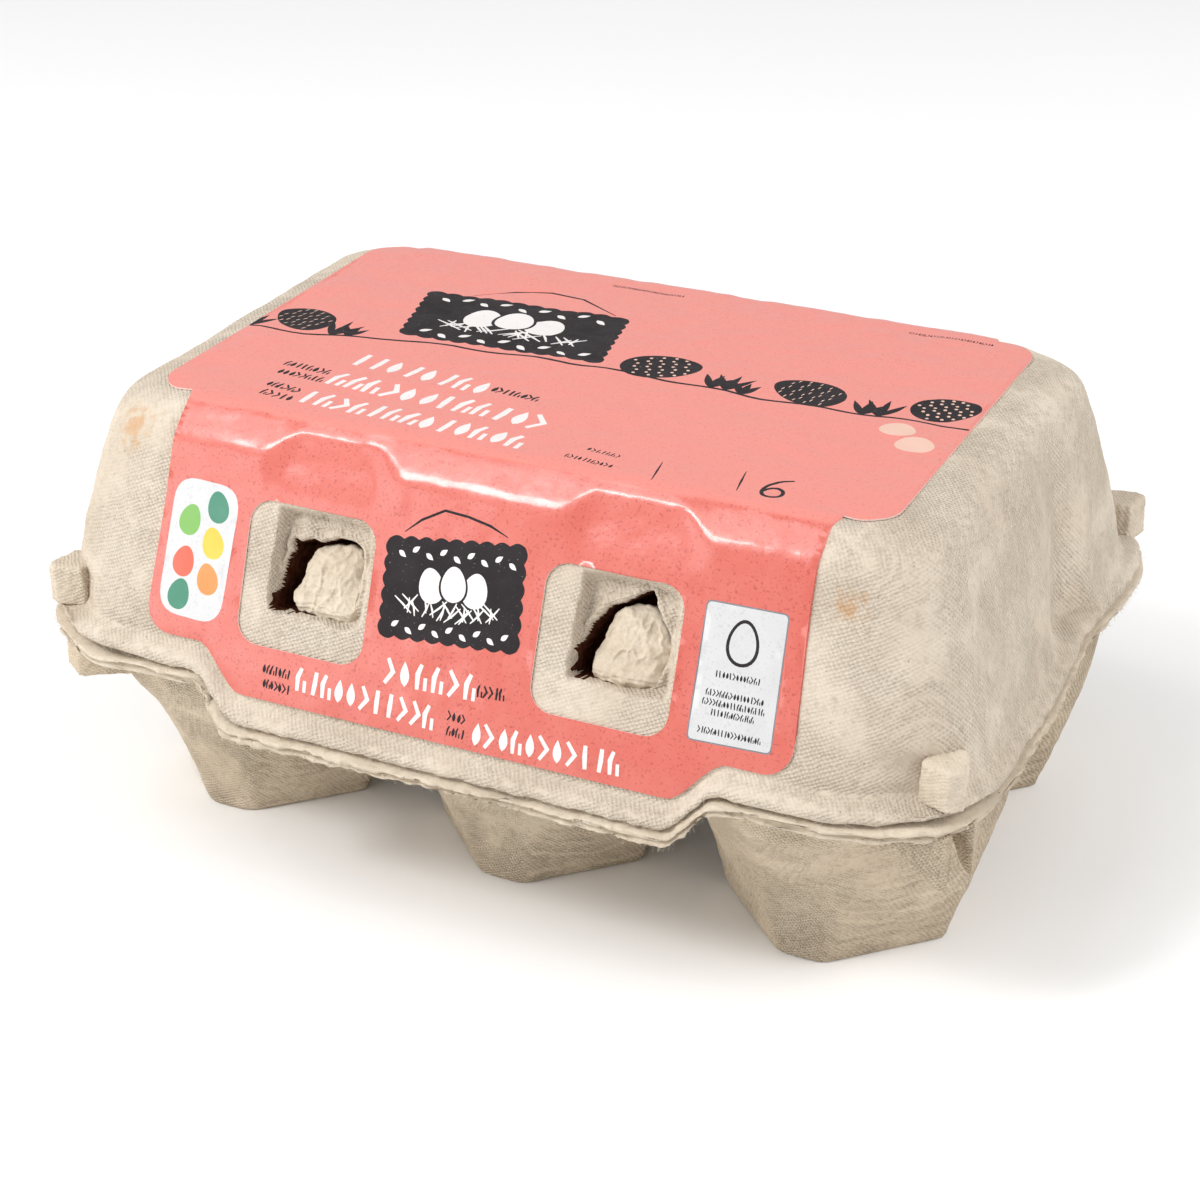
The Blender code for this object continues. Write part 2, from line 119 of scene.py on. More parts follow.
def smooth_line(points: Sequence[Sequence[float]], steps: int = 5) -> Points:
    """Open curve through the points.

    Args:
        points: the places it passes through.
        steps: points from each to the next.

    Returns:
        The curve's points, one row each.
    """
    p = np.asarray(points, float)
    padded = np.vstack((2 * p[0] - p[1], p, 2 * p[-1] - p[-2]))
    shares = np.arange(steps) / steps
    curve = [bent(*padded[first:first + 4], t) for first in range(len(padded) - 3) for t in shares]
    return np.array(curve + [p[-1]])


def swung(x: np.ndarray, y: np.ndarray, degrees: float, centre: Sequence[float]) -> Points:
    """Flat places turned by an angle and moved to a centre."""
    c, s = math.cos(math.radians(degrees)), math.sin(math.radians(degrees))
    return np.column_stack((centre[0] + c * x - s * y, centre[1] + s * x + c * y))


def rounded_corners(corners: Sequence[Sequence[float]], radius: float, steps: int = 6) -> Points:
    """Polygon with its corners rounded off.

    Args:
        corners: its corners in order.
        radius: how far from each corner the rounding starts.
        steps: pieces of each rounding.

    Returns:
        The closed outline's points, one row each.
    """
    p = np.asarray(corners, float)
    outline = []
    for index in range(len(p)):
        here, before, after = p[index], p[index - 1], p[(index + 1) % len(p)]
        back = here + (before - here) / np.linalg.norm(before - here) * radius
        ahead = here + (after - here) / np.linalg.norm(after - here) * radius
        for t in np.linspace(0, 1, steps + 1):
            outline.append((1 - t) ** 2 * back + 2 * t * (1 - t) * here + t * t * ahead)
    return np.array(outline)


def evenly(outline: Points, count: int) -> Points:
    """Closed outline with its points evenly spaced.

    Args:
        outline: its points in order.
        count: how many points it gets.

    Returns:
        The new points, one row each.
    """
    closed = np.vstack((outline, outline[:1]))
    run = np.concatenate(([0.0], np.cumsum(np.hypot(*np.diff(closed, axis=0).T))))
    at = np.arange(count) * run[-1] / count
    return np.column_stack([np.interp(at, run, closed[:, axis]) for axis in (0, 1)])


def depth_inside(points: Points, outline: Points) -> np.ndarray:
    """Distance of each point inside a closed outline, negative outside it.

    Args:
        points: places in the outline's plane, one row each.
        outline: the outline's corners in order.

    Returns:
        One distance per point.
    """
    start, end = outline, np.roll(outline, -1, 0)
    run = end - start
    nearest = np.full(len(points), 1e9)
    crossings = np.zeros(len(points), int)
    for a, d in zip(start, run):
        share = np.clip(((points - a) @ d) / max(d @ d, 1e-12), 0, 1)
        gap = points - a - share[:, None] * d
        nearest = np.minimum(nearest, np.hypot(gap[:, 0], gap[:, 1]))
        b = a + d
        spans = (a[1] > points[:, 1]) != (b[1] > points[:, 1])
        with np.errstate(divide="ignore", invalid="ignore"):
            at = a[0] + (points[:, 1] - a[1]) * d[0] / d[1]
        crossings += (spans & (points[:, 0] < at)).astype(int)
    return np.where(crossings % 2 == 1, nearest, -nearest)


def wound(points: Points, outline: Points) -> np.ndarray:
    """Whether an outline winds round each point, also where the outline crosses itself.

    Args:
        points: places in the outline's plane, one row each.
        outline: the outline's corners in order.

    Returns:
        True or False for each point.
    """
    low, high = outline.min(0), outline.max(0)
    near = np.nonzero(np.all((points >= low) & (points <= high), axis=1))[0]
    p, turns = points[near], np.zeros(len(near), int)
    for a, b in zip(outline, np.roll(outline, -1, 0)):
        side = (b[0] - a[0]) * (p[:, 1] - a[1]) - (p[:, 0] - a[0]) * (b[1] - a[1])
        turns += ((a[1] <= p[:, 1]) & (b[1] > p[:, 1]) & (side > 0)).astype(int)
        turns -= ((a[1] > p[:, 1]) & (b[1] <= p[:, 1]) & (side < 0)).astype(int)
    inside = np.zeros(len(points), bool)
    inside[near[turns != 0]] = True
    return inside


def new_object(name: str, mesh: bpy.types.Mesh) -> bpy.types.Object:
    """Object of a mesh, linked to the scene."""
    made = bpy.data.objects.new(name, mesh)
    bpy.context.scene.collection.objects.link(made)
    return made


def mesh_of(name: str, points: Points, faces: Iterable[Sequence[int]]) -> bpy.types.Mesh:
    """Smooth-shaded mesh of points and faces.

    Args:
        name: its name.
        points: places in metres.
        faces: the point numbers of each face.

    Returns:
        The mesh.
    """
    mesh = bpy.data.meshes.new(name)
    mesh.from_pydata([tuple(p) for p in points], [], [tuple(int(i) for i in f) for f in faces])
    mesh.update()
    mesh.polygons.foreach_set("use_smooth", [True] * len(mesh.polygons))
    return mesh


def merged(name: str, parts: Iterable[tuple[Points, Faces]]) -> bpy.types.Mesh:
    """One mesh of several parts.

    Args:
        name: its name.
        parts: points and faces of each part.

    Returns:
        The mesh, its faces in the order of the parts.
    """
    points, faces, start = [], [], 0
    for more, sides in parts:
        points.append(more)
        faces += [tuple(i + start for i in face) for face in sides]
        start += len(more)
    return mesh_of(name, np.vstack(points), faces)


def used_only(points: Points, faces: Faces) -> tuple[Points, Faces]:
    """Leaves out the points that no face uses.

    Args:
        points: places, one row each.
        faces: the point numbers of each face.

    Returns:
        The points left, and the faces counted anew.
    """
    used = sorted({i for face in faces for i in face})
    index = {old: new for new, old in enumerate(used)}
    return points[used], [tuple(index[i] for i in face) for face in faces]


def places(mesh: bpy.types.Mesh) -> tuple[Points, Points]:
    """Vertex places and vertex normals of a mesh, one row each."""
    count = len(mesh.vertices)
    co, no = np.empty(count * 3), np.empty(count * 3)
    mesh.vertices.foreach_get("co", co)
    mesh.vertices.foreach_get("normal", no)
    return co.reshape(-1, 3), no.reshape(-1, 3)


def place(mesh: bpy.types.Mesh, points: Points) -> None:
    """Moves a mesh's vertices to the given places."""
    mesh.vertices.foreach_set("co", points.ravel())
    mesh.update()


def add_node(tree: bpy.types.NodeTree, kind: str, inputs: dict[str | int, object] | None = None,
             **settings: object) -> bpy.types.Node:
    """Adds a node to a tree.

    Args:
        tree: the tree.
        kind: Blender's name for the node.
        inputs: a value or a socket for each input, by name or by number.
        settings: the node's own properties.

    Returns:
        The node.
    """
    node = tree.nodes.new(kind)
    for key, value in settings.items():
        setattr(node, key, value)
    for key, value in (inputs or {}).items():
        if isinstance(value, Socket):
            tree.links.new(value, node.inputs[key])
        else:
            node.inputs[key].default_value = value
    return node


def flattened(made: bpy.types.Object) -> bpy.types.Object:
    """Turns an object's modifiers into plain mesh.

    Args:
        made: the object.

    Returns:
        The same object.
    """
    bpy.context.view_layer.update()
    graph = bpy.context.evaluated_depsgraph_get()
    mesh = bpy.data.meshes.new_from_object(made.evaluated_get(graph))
    made.modifiers.clear()
    made.data = mesh
    return made


def sewn(columns: int, rows: int) -> Faces:
    """Faces of closed loops stacked from the top down, each loop anticlockwise from above.

    Args:
        columns: points in each loop.
        rows: number of loops. Two more points, after the loops, close the top and the bottom.

    Returns:
        Quads, and a fan of triangles at each pole.
    """
    pairs = [(column, (column + 1) % columns) for column in range(columns)]
    faces = [(up + a, up + columns + a, up + columns + b, up + b)
             for up in range(0, (rows - 1) * columns, columns) for a, b in pairs]
    top, last = rows * columns, (rows - 1) * columns
    for a, b in pairs:
        faces += [(top, a, b), (last + a, top + 1, last + b)]
    return faces


# ---------------------------------------------------------------- surface rules

@dataclass(frozen=True)
class LoopCounts:
    """Points along half of a loop round the carton: front, each corner, each end, back."""

    front: int = 88
    corner: int = 22
    end: int = 70
    back: int = 38


@dataclass(frozen=True)
class CartonForm:
    """Sizes in metres, and the rules of the outer surfaces, that lid, tray and label share."""

    rim_z: float = 0.0340
    lid_top: float = 0.0692
    fold_front: float = 0.0367
    fold_back: float = 0.0352
    ridge_out: float = 0.0046
    ridge_drop: float = 0.0041
    face_slope: float = 0.36
    set_back: float = 0.0026
    set_back_lift: float = 0.0026
    set_back_fade: float = 0.0019
    set_back_half: float = 0.0062
    set_back_ramp: float = 0.0054
    flap_rise: float = 0.0040
    plateau_half: float = 0.0600
    crease_out: float = 0.0032
    crease_drop: float = 0.0019
    end_spread: float = 0.0100
    end_fullness: float = 0.68
    corner_top: tuple[float, float, float] = (0.0115, 0.0115, 2.0)
    corner_crease: tuple[float, float, float] = (0.0105, 0.0110, 2.2)
    corner_low: tuple[float, float, float] = (0.0230, 0.0210, 2.4)
    corner_rim: tuple[float, float, float] = (0.0275, 0.0245, 2.6)
    valley_y: float = 0.0105
    valley_top: float = 0.0660
    valley_depth: float = 0.0050
    valley_front: tuple[float, float] = (0.0110, 0.0180)
    valley_back: tuple[float, float] = (0.0060, 0.0090)
    rim_dent: float = 0.0014
    rim_dent_half: float = 0.0200
    hinge_flange: float = 0.0036
    step_drop: float = 0.0060
    step_half: float = 0.0335
    step_ramp: float = 0.0080
    window_x: float = 0.0235
    window_high: float = 0.0590

    @property
    def face_y(self) -> float:
        """How far in front of the origin the ridge stands."""
        return self.fold_front + self.ridge_out

    @property
    def back_face_y(self) -> float:
        """How far behind the origin the back ridge stands."""
        return self.fold_back + self.ridge_out

    @property
    def ridge_z(self) -> float:
        """Height of the ridges below the front and back folds."""
        return self.lid_top - self.ridge_drop

    @property
    def lean(self) -> float:
        """Length of the front wall for each unit of height."""
        return math.hypot(1.0, self.face_slope)

    @property
    def inward(self) -> np.ndarray:
        """Unit direction straight into the front wall."""
        return np.array((0.0, 1.0, -self.face_slope)) / self.lean

    def rim_height(self, x: np.ndarray) -> np.ndarray:
        """Height of the front rim's lower edge at x: it hangs lower along the middle."""
        return self.rim_z - self.step_drop * (1 - ease((np.abs(x) - self.step_half) / self.step_ramp))

    def beside_window(self, x: np.ndarray) -> np.ndarray:
        """1 at a latch window's middle, easing to 0 away from it."""
        return 1 - ease((np.abs(np.abs(x) - self.window_x) - self.set_back_half) / self.set_back_ramp)

    def wall_y(self, z: np.ndarray) -> np.ndarray:
        """Distance of the plain front wall in front of the origin at height z."""
        return self.face_y + self.face_slope * (self.ridge_z - z)

    def front_wall(self, x: np.ndarray, z: np.ndarray) -> np.ndarray:
        """Y of the front wall at x and z, set back a little above each window."""
        fade = ease((z - self.window_high) / (self.ridge_z + self.set_back_lift - self.window_high))
        return -self.wall_y(z) + self.beside_window(x) * self.set_back_fade * fade

    def front_ridge(self, x: np.ndarray) -> tuple[np.ndarray, np.ndarray]:
        """Y and Z of the ridge under the front fold: it steps back and up over each window."""
        near = self.beside_window(x)
        return -(self.face_y - near * self.set_back), self.ridge_z + near * self.set_back_lift

    def front_row(self, share: float) -> Callable:
        """Rule for a line along the front wall.

        Args:
            share: 0 at the ridge, 1 at the label's edge.

        Returns:
            Rule of x that gives y and z.
        """
        def line(x: np.ndarray) -> tuple[np.ndarray, np.ndarray]:
            """y and z of the line at each x."""
            ridge_z = self.front_ridge(x)[1]
            z = ridge_z + share * (self.rim_height(x) + self.flap_rise - ridge_z)
            return self.front_wall(x, z), z
        return line

    def back_row(self, share: float) -> Callable:
        """Rule for a line along the back wall, at the same share of the way down."""
        z = self.ridge_z + share * (self.rim_z + self.flap_rise - self.ridge_z)
        return lambda x: (self.back_face_y + self.face_slope * (self.ridge_z - z) + 0 * x, z + 0 * x)

    def valley(self, z: float) -> Rule:
        """How far the end wall dips inwards at one height.

        Args:
            z: the height.

        Returns:
            Rule of y.
        """
        low = float(np.clip((self.valley_top - z) / (self.valley_top - self.rim_z), 0, 1))
        front = self.valley_front[0] + low * (self.valley_front[1] - self.valley_front[0])
        back = self.valley_back[0] + low * (self.valley_back[1] - self.valley_back[0])
        return lambda y: self.valley_depth * low * ease(
            1 - np.maximum((self.valley_y - y) / front, (y - self.valley_y) / back))

    def rim_dip(self, y: np.ndarray) -> np.ndarray:
        """How far the rim itself dips inwards at the middle of each end."""
        return self.rim_dent * (1 - ease(np.abs(y - self.valley_y) / self.rim_dent_half))

    def end_reach(self, z: float) -> float:
        """Half length of the lid's end walls at height z: a little full, not straight."""
        crease_z = self.lid_top - self.crease_drop
        share = (crease_z - z) / (crease_z - self.rim_z)
        return self.plateau_half + self.crease_out + self.end_spread * max(share, 0.0) ** self.end_fullness

    def arc(self, centre: tuple[float, float], corner: Sequence[float], start: float,
            heights: tuple[float, float], steps: int) -> Points:
        """Quarter turn of a superellipse.

        Args:
            centre: its centre.
            corner: reach in x, reach in y and power.
            start: its first angle, in radians.
            heights: height at its start and at its end.
            steps: its pieces.

        Returns:
            Its points, one row each.
        """
        share = np.linspace(0, 1, steps + 1)
        angle = start + share * math.pi / 2
        x = centre[0] + corner[0] * powered(np.cos(angle), 2 / corner[2])
        y = centre[1] + corner[1] * powered(np.sin(angle), 2 / corner[2])
        return np.column_stack((x, y, heights[0] + ease(share) * (heights[1] - heights[0])))

    def loop(self, front: Callable, back: Callable, length: float, end_z: float,
             corner: Sequence[float], dent: Rule, counts: LoopCounts) -> Points:
        """Closed loop round the carton at one level, anticlockwise from the middle of the front.

        Args:
            front: rule of x that gives y and z along the front.
            back: the same along the back.
            length: half length at the ends.
            end_z: height along the ends.
            corner: reach in x, reach in y and superellipse power of the corners.
            dent: rule of y that is taken off the half length.
            counts: how many points each stretch gets.

        Returns:
            The loop's points, one row each.
        """
        centre_x = length - corner[0]
        front_y, front_z = (float(v) for v in front(np.array(centre_x)))
        back_y, back_z = (float(v) for v in back(np.array(centre_x)))
        xs = np.linspace(0, centre_x, counts.front, endpoint=False)
        low, high = front_y + corner[1], back_y - corner[1]
        ys = np.linspace(low, high, counts.end + 2)[1:-1]
        ends = np.linspace(centre_x, 0, counts.back + 1)[1:]
        half = np.vstack((
            np.column_stack((xs, *front(xs))),
            self.arc((centre_x, low), corner, -math.pi / 2, (front_z, end_z), counts.corner),
            np.column_stack((length - dent(ys), ys, np.full(len(ys), end_z))),
            self.arc((centre_x, high), corner, 0, (end_z, back_z), counts.corner),
            np.column_stack((ends, *back(ends))),
        ))
        return np.vstack((half, half[1:-1][::-1] * (-1, 1, 1)))

    def lip(self, rise: float, proud: float, counts: LoopCounts) -> Points:
        """Loop round the rim lip.

        Args:
            rise: height over the rim's lower edge.
            proud: how far it stands out of the wall.
            counts: how many points each stretch gets.

        Returns:
            The loop's points, one row each.
        """
        z = self.rim_z + rise
        flange = self.hinge_flange * float(ease(proud / 0.0008))
        return self.loop(
            lambda x: (-self.wall_y(self.rim_height(x) + rise) - proud, self.rim_height(x) + rise),
            lambda x: (self.back_face_y + self.face_slope * (self.ridge_z - z) + proud + flange + 0 * x, z + 0 * x),
            self.end_reach(self.rim_z) + proud, z, self.corner_rim,
            self.valley(z) if proud == 0 else self.rim_dip, counts)

    def wall(self, share: float, counts: LoopCounts) -> Points:
        """Loop round the walls.

        Args:
            share: 0 at the crease, 1 at the label's lower edge.
            counts: how many points each stretch gets.

        Returns:
            The loop's points, one row each.
        """
        crease_z = self.lid_top - self.crease_drop
        z = crease_z + share * (self.rim_z + self.flap_rise - crease_z)
        corner = np.asarray(self.corner_crease) + share * (np.asarray(self.corner_low) - self.corner_crease)
        return self.loop(self.front_row(share), self.back_row(share), self.end_reach(z), z, corner,
                         self.valley(z), counts)

    def crease(self, counts: LoopCounts) -> Points:
        """Loop along the ridges of front and back and the creases of the ends."""
        return self.loop(self.front_ridge, lambda x: (self.back_face_y + 0 * x, self.ridge_z + 0 * x),
                         self.plateau_half + self.crease_out, self.lid_top - self.crease_drop,
                         self.corner_crease, lambda y: 0 * y, counts)

    def plateau(self, counts: LoopCounts) -> Points:
        """Loop round the flat top."""
        return self.loop(lambda x: (-self.fold_front + 0 * x, self.lid_top + 0 * x),
                         lambda x: (self.fold_back + 0 * x, self.lid_top + 0 * x),
                         self.plateau_half, self.lid_top, self.corner_top, lambda y: 0 * y, counts)


# ---------------------------------------------------------------- finishes

class NodeSheet:
    """One material's node tree, with short calls for the nodes that the finishes use."""

    def __init__(self, name: str) -> None:
        """Starts a material of that name with its shader and object coordinates."""
        self.material = bpy.data.materials.new(name)
        self.material.use_nodes = True
        self.tree = self.material.node_tree
        self.shader = self.tree.nodes["Principled BSDF"]
        self.coordinates = self.tree.nodes.new("ShaderNodeTexCoord")

    @property
    def spot(self) -> Socket:
        """Place in the carton's own frame, in metres."""
        return self.coordinates.outputs["Object"]

    def add(self, kind: str, inputs: dict[str | int, object] | None = None, **settings: object) -> bpy.types.Node:
        """Adds a node to this sheet, as add_node does."""
        return add_node(self.tree, kind, inputs, **settings)

    def stretched(self, scale: Sequence[float], turn: Sequence[float] = (0, 0, 0)) -> Socket:
        """Object coordinates turned and scaled along each axis."""
        return self.add("ShaderNodeMapping", {"Vector": self.spot, "Scale": scale, "Rotation": turn}).outputs[0]

    def noise(self, size: float, detail: float = 2.0, rough: float = 0.5, vector: Socket | None = None) -> Socket:
        """Noise in the carton's own frame.

        Args:
            size: width of a lump in metres.
            detail: layers of finer lumps.
            rough: strength of the finer layers.
            vector: other coordinates, if any.

        Returns:
            A value, about 0 to 1.
        """
        node = self.add("ShaderNodeTexNoise", {"Vector": vector or self.spot, "Scale": 1 / size,
                                               "Detail": detail, "Roughness": rough})
        return node.outputs["Fac"]

    def band(self, source: Socket, low: float, high: float, out: tuple[float, float] = (0.0, 1.0)) -> Socket:
        """Value eased from out[0] to out[1].

        Args:
            source: the value that steers it.
            low: source at which it starts.
            high: source at which it ends.
            out: its first and last value.

        Returns:
            The eased value.
        """
        node = self.add("ShaderNodeMapRange", {0: source, 1: low, 2: high, 3: out[0], 4: out[1]},
                        interpolation_type="SMOOTHSTEP")
        return node.outputs[0]

    def math(self, operation: str, first: object, second: object = 0.0) -> Socket:
        """Result of one sum."""
        return self.add("ShaderNodeMath", {0: first, 1: second}, operation=operation).outputs[0]

    def mix(self, factor: object, first: object, second: object) -> Socket:
        """Colour between two colours."""
        colours = [(*c, 1.0) if isinstance(c, tuple) else c for c in (first, second)]
        return self.add("ShaderNodeMix", {0: factor, 6: colours[0], 7: colours[1]}, data_type="RGBA").outputs[2]

    def blob(self, place_mm: Sequence[float], radius_mm: float) -> Socket:
        """Round spot with a ragged edge.

        Args:
            place_mm: its middle, in millimetres.
            radius_mm: where it has faded away.

        Returns:
            1 in its middle, 0 outside.
        """
        centre = tuple(v * MM for v in place_mm)
        away = self.add("ShaderNodeVectorMath", {0: self.spot, 1: centre}, operation="DISTANCE")
        rough = self.band(self.noise(1.6 * MM, 3), 0.25, 0.75, (-0.45 * radius_mm * MM, 0.45 * radius_mm * MM))
        return self.band(self.math("ADD", away.outputs["Value"], rough), 0.0, radius_mm * MM, (1.0, 0.0))

    def bump(self, height: Socket, distance: float, strength: float = 1.0, under: Socket | None = None) -> Socket:
        """Normal that a height raises.

        Args:
            height: the height.
            distance: metres that a height of 1 stands for.
            strength: how much it shows.
            under: a normal to lay it over, if any.

        Returns:
            The normal.
        """
        inputs = {"Height": height, "Distance": distance, "Strength": strength}
        if under is not None:
            inputs["Normal"] = under
        return self.add("ShaderNodeBump", inputs).outputs[0]

    def set(self, **values: object) -> None:
        """Sets or links the shader's inputs, named with _ for each space."""
        for key, value in values.items():
            socket = self.shader.inputs[key.replace("_", " ")]
            if isinstance(value, Socket):
                self.tree.links.new(value, socket)
            else:
                socket.default_value = value


@dataclass(frozen=True)
class PulpFinish:
    """Moulded pulp: blotches, fine fibres, dark flecks and the imprint of the mould's wire mesh, with painted shade in
    the imprint's hollows.
    """

    name: str
    colour: Colour
    pale: Colour
    # shade: a darker tone for random blotches, and the colour of the painted shade in the mesh imprint's hollows.
    shade: Colour
    fleck: Colour = (0.16, 0.11, 0.07)
    stain: Colour = (0.55, 0.27, 0.09)
    stains: tuple[tuple[tuple[float, float, float], float], ...] = ()
    mesh_pitch: float = 0.56 * MM
    mesh_depth: float = 0.075 * MM
    # How strongly the mesh imprint's hollows are darkened with painted shade.
    mesh_painted_shade: float = 0.42
    fibre_depth: float = 0.16 * MM
    lump_depth: float = 0.35 * MM

    def weave(self, sheet: NodeSheet) -> Socket:
        """Height of the wire mesh's imprint, laid on along whichever axis the surface faces.

        Args:
            sheet: the material being made.

        Returns:
            A height, about 0 to 1.
        """
        turn = 2 * math.pi / self.mesh_pitch
        axes = sheet.add("ShaderNodeSeparateXYZ", {0: sheet.spot}).outputs
        facing = sheet.add("ShaderNodeSeparateXYZ", {0: sheet.coordinates.outputs["Normal"]}).outputs
        warp = sheet.math("MULTIPLY", sheet.noise(2.2 * MM, 2), 7.0)
        total: object = 0.0
        for across, first, second in ((0, 1, 2), (1, 0, 2), (2, 0, 1)):
            one = sheet.math("ADD", sheet.math("MULTIPLY", axes[first], 0.80),
                             sheet.math("MULTIPLY", axes[second], 0.60))
            two = sheet.math("SUBTRACT", sheet.math("MULTIPLY", axes[first], 0.45), axes[second])
            waves = sheet.math("ADD", sheet.math("SINE", sheet.math("ADD", sheet.math("MULTIPLY", one, turn), warp)),
                               sheet.math("SINE", sheet.math("ADD", sheet.math("MULTIPLY", two, turn), warp)))
            weight = sheet.math("MULTIPLY", facing[across], facing[across])
            total = sheet.math("ADD", total, sheet.math("MULTIPLY", waves, weight))
        worn = sheet.band(sheet.noise(9 * MM, 2), 0.30, 0.60, (0.35, 1.0))
        return sheet.math("MULTIPLY", total, worn)

    def make(self) -> bpy.types.Material:
        """Builds the material."""
        sheet = NodeSheet(self.name)
        colour = sheet.mix(sheet.band(sheet.noise(14 * MM, 3, 0.6), 0.32, 0.68), self.colour, self.pale)
        colour = sheet.mix(sheet.band(sheet.noise(1.1 * MM, 4, 0.65), 0.45, 0.80, (0.0, 0.55)), colour, self.shade)
        hairs = sheet.noise(1.0, 2, 0.5, sheet.stretched((900, 5200, 1900), (0.5, 0.3, 0.8)))
        colour = sheet.mix(sheet.band(hairs, 0.60, 0.74, (0.0, 0.35)), colour, self.pale)
        dots = sheet.add("ShaderNodeTexVoronoi", {"Vector": sheet.spot, "Scale": 620.0, "Randomness": 1.0}).outputs
        chosen = sheet.band(sheet.add("ShaderNodeSeparateXYZ", {0: dots["Color"]}).outputs[0], 0.80, 0.84)
        small = sheet.band(dots["Distance"], 0.05, 0.11, (0.70, 0.0))
        colour = sheet.mix(sheet.math("MULTIPLY", chosen, small), colour, self.fleck)
        weave = self.weave(sheet)
        # Painted shade: the hollows of the mesh imprint are darkened, as shade falls in them.
        if self.mesh_depth > 0:
            colour = sheet.mix(sheet.band(weave, 0.1, -1.6, (0.0, self.mesh_painted_shade)), colour, self.shade)
        for centre, radius in self.stains:
            amount = sheet.math("MULTIPLY", sheet.blob(centre, radius), 0.55)
            colour = sheet.mix(amount, colour, self.stain)
        lumps = sheet.bump(sheet.noise(3.2 * MM, 3, 0.55), self.lump_depth, 0.55)
        woven = sheet.bump(weave, self.mesh_depth, 1.0, lumps)
        fibres = sheet.bump(sheet.noise(0.55 * MM, 5, 0.7), self.fibre_depth, 0.8, woven)
        sheet.set(Base_Color=colour, Roughness=0.95, Specular_IOR_Level=0.12, Normal=fibres)
        return sheet.material


@dataclass(frozen=True)
class PaintedShadeHoleFinish:
    """Painted shade inside the torn latch holes: their brown pulp darkened to near black, as deep shade shows there."""

    name: str
    colour: Colour = (0.040, 0.010, 0.005)
    pale: Colour = (0.085, 0.033, 0.018)

    def make(self) -> bpy.types.Material:
        """Builds the material."""
        sheet = NodeSheet(self.name)
        colour = sheet.mix(sheet.band(sheet.noise(0.9 * MM, 4, 0.6), 0.35, 0.75), self.colour, self.pale)
        rough = sheet.bump(sheet.noise(0.6 * MM, 4, 0.7), 0.1 * MM, 0.6)
        sheet.set(Base_Color=colour, Roughness=1.0, Specular_IOR_Level=0.0, Normal=rough)
        return sheet.material


@dataclass(frozen=True)
class PaperFinish:
    """Coated label paper in one ink, with fine specks, a soft gloss and slight wrinkles."""

    name: str
    colour: Colour
    pale: Colour
    speck: Colour
    speck_size: float = 0.72 * MM
    speck_share: float = 0.58
    gloss: float = 0.36
    coat: float = 0.5
    shine: float = 0.5
    # Paler colour of the top panel, a painted sheen, if any.
    painted_top_sheen: Colour | None = None

    def make(self) -> bpy.types.Material:
        """Builds the material. The top panel turns to a paler colour, a painted sheen, if there is one."""
        sheet = NodeSheet(self.name)
        colour = sheet.mix(sheet.band(sheet.noise(6 * MM, 3, 0.6), 0.35, 0.7, (0.0, 0.6)), self.colour, self.pale)
        specks = sheet.band(sheet.noise(self.speck_size * 0.55, 2.5, 0.55), self.speck_share, self.speck_share + 0.07)
        # Painted sheen: the top panel is paler, with fewer specks, as the gloss catches the light there.
        if self.painted_top_sheen:
            height = sheet.add("ShaderNodeSeparateXYZ", {0: sheet.spot}).outputs[2]
            top = sheet.band(height, 68.85 * MM, 69.45 * MM)
            colour = sheet.mix(top, colour, self.painted_top_sheen)
            specks = sheet.math("MULTIPLY", specks, sheet.band(top, 0.0, 1.0, (1.0, 0.35)))
        colour = sheet.mix(sheet.math("MULTIPLY", specks, 0.75), colour, self.speck)
        wrinkles = sheet.bump(sheet.noise(6 * MM, 3, 0.55), 0.45 * MM, 0.6)
        dimples = sheet.bump(sheet.noise(1.3 * MM, 3, 0.6), 0.07 * MM, 0.55, wrinkles)
        rough = sheet.band(sheet.noise(2.4 * MM, 3, 0.6), 0.3, 0.7, (self.gloss - 0.05, self.gloss + 0.10))
        sheet.set(Base_Color=colour, Roughness=rough, Specular_IOR_Level=self.shine, Coat_Weight=self.coat,
                  Coat_Roughness=0.12, Normal=dimples)
        return sheet.material


@dataclass(frozen=True)
class FloorFinish:
    """Pale matt studio floor."""

    name: str
    colour: Colour = (0.93, 0.93, 0.93)

    def make(self) -> bpy.types.Material:
        """Builds the material."""
        sheet = NodeSheet(self.name)
        colour = sheet.mix(sheet.band(sheet.noise(0.25, 3), 0.3, 0.7, (0.0, 0.5)), self.colour, (0.955, 0.955, 0.955))
        sheet.set(Base_Color=colour, Roughness=0.9, Specular_IOR_Level=0.1)
        return sheet.material


class Ink(Enum):
    """Inks on the label, in the order of the label's material slots."""

    CORAL = 0
    WHITE = 1
    CHARCOAL = 2
    SHEET = 3
    GREEN = 4
    LEAF = 5
    YELLOW = 6
    ORANGE = 7
    RED = 8
    BLUSH = 9
    GREY = 10


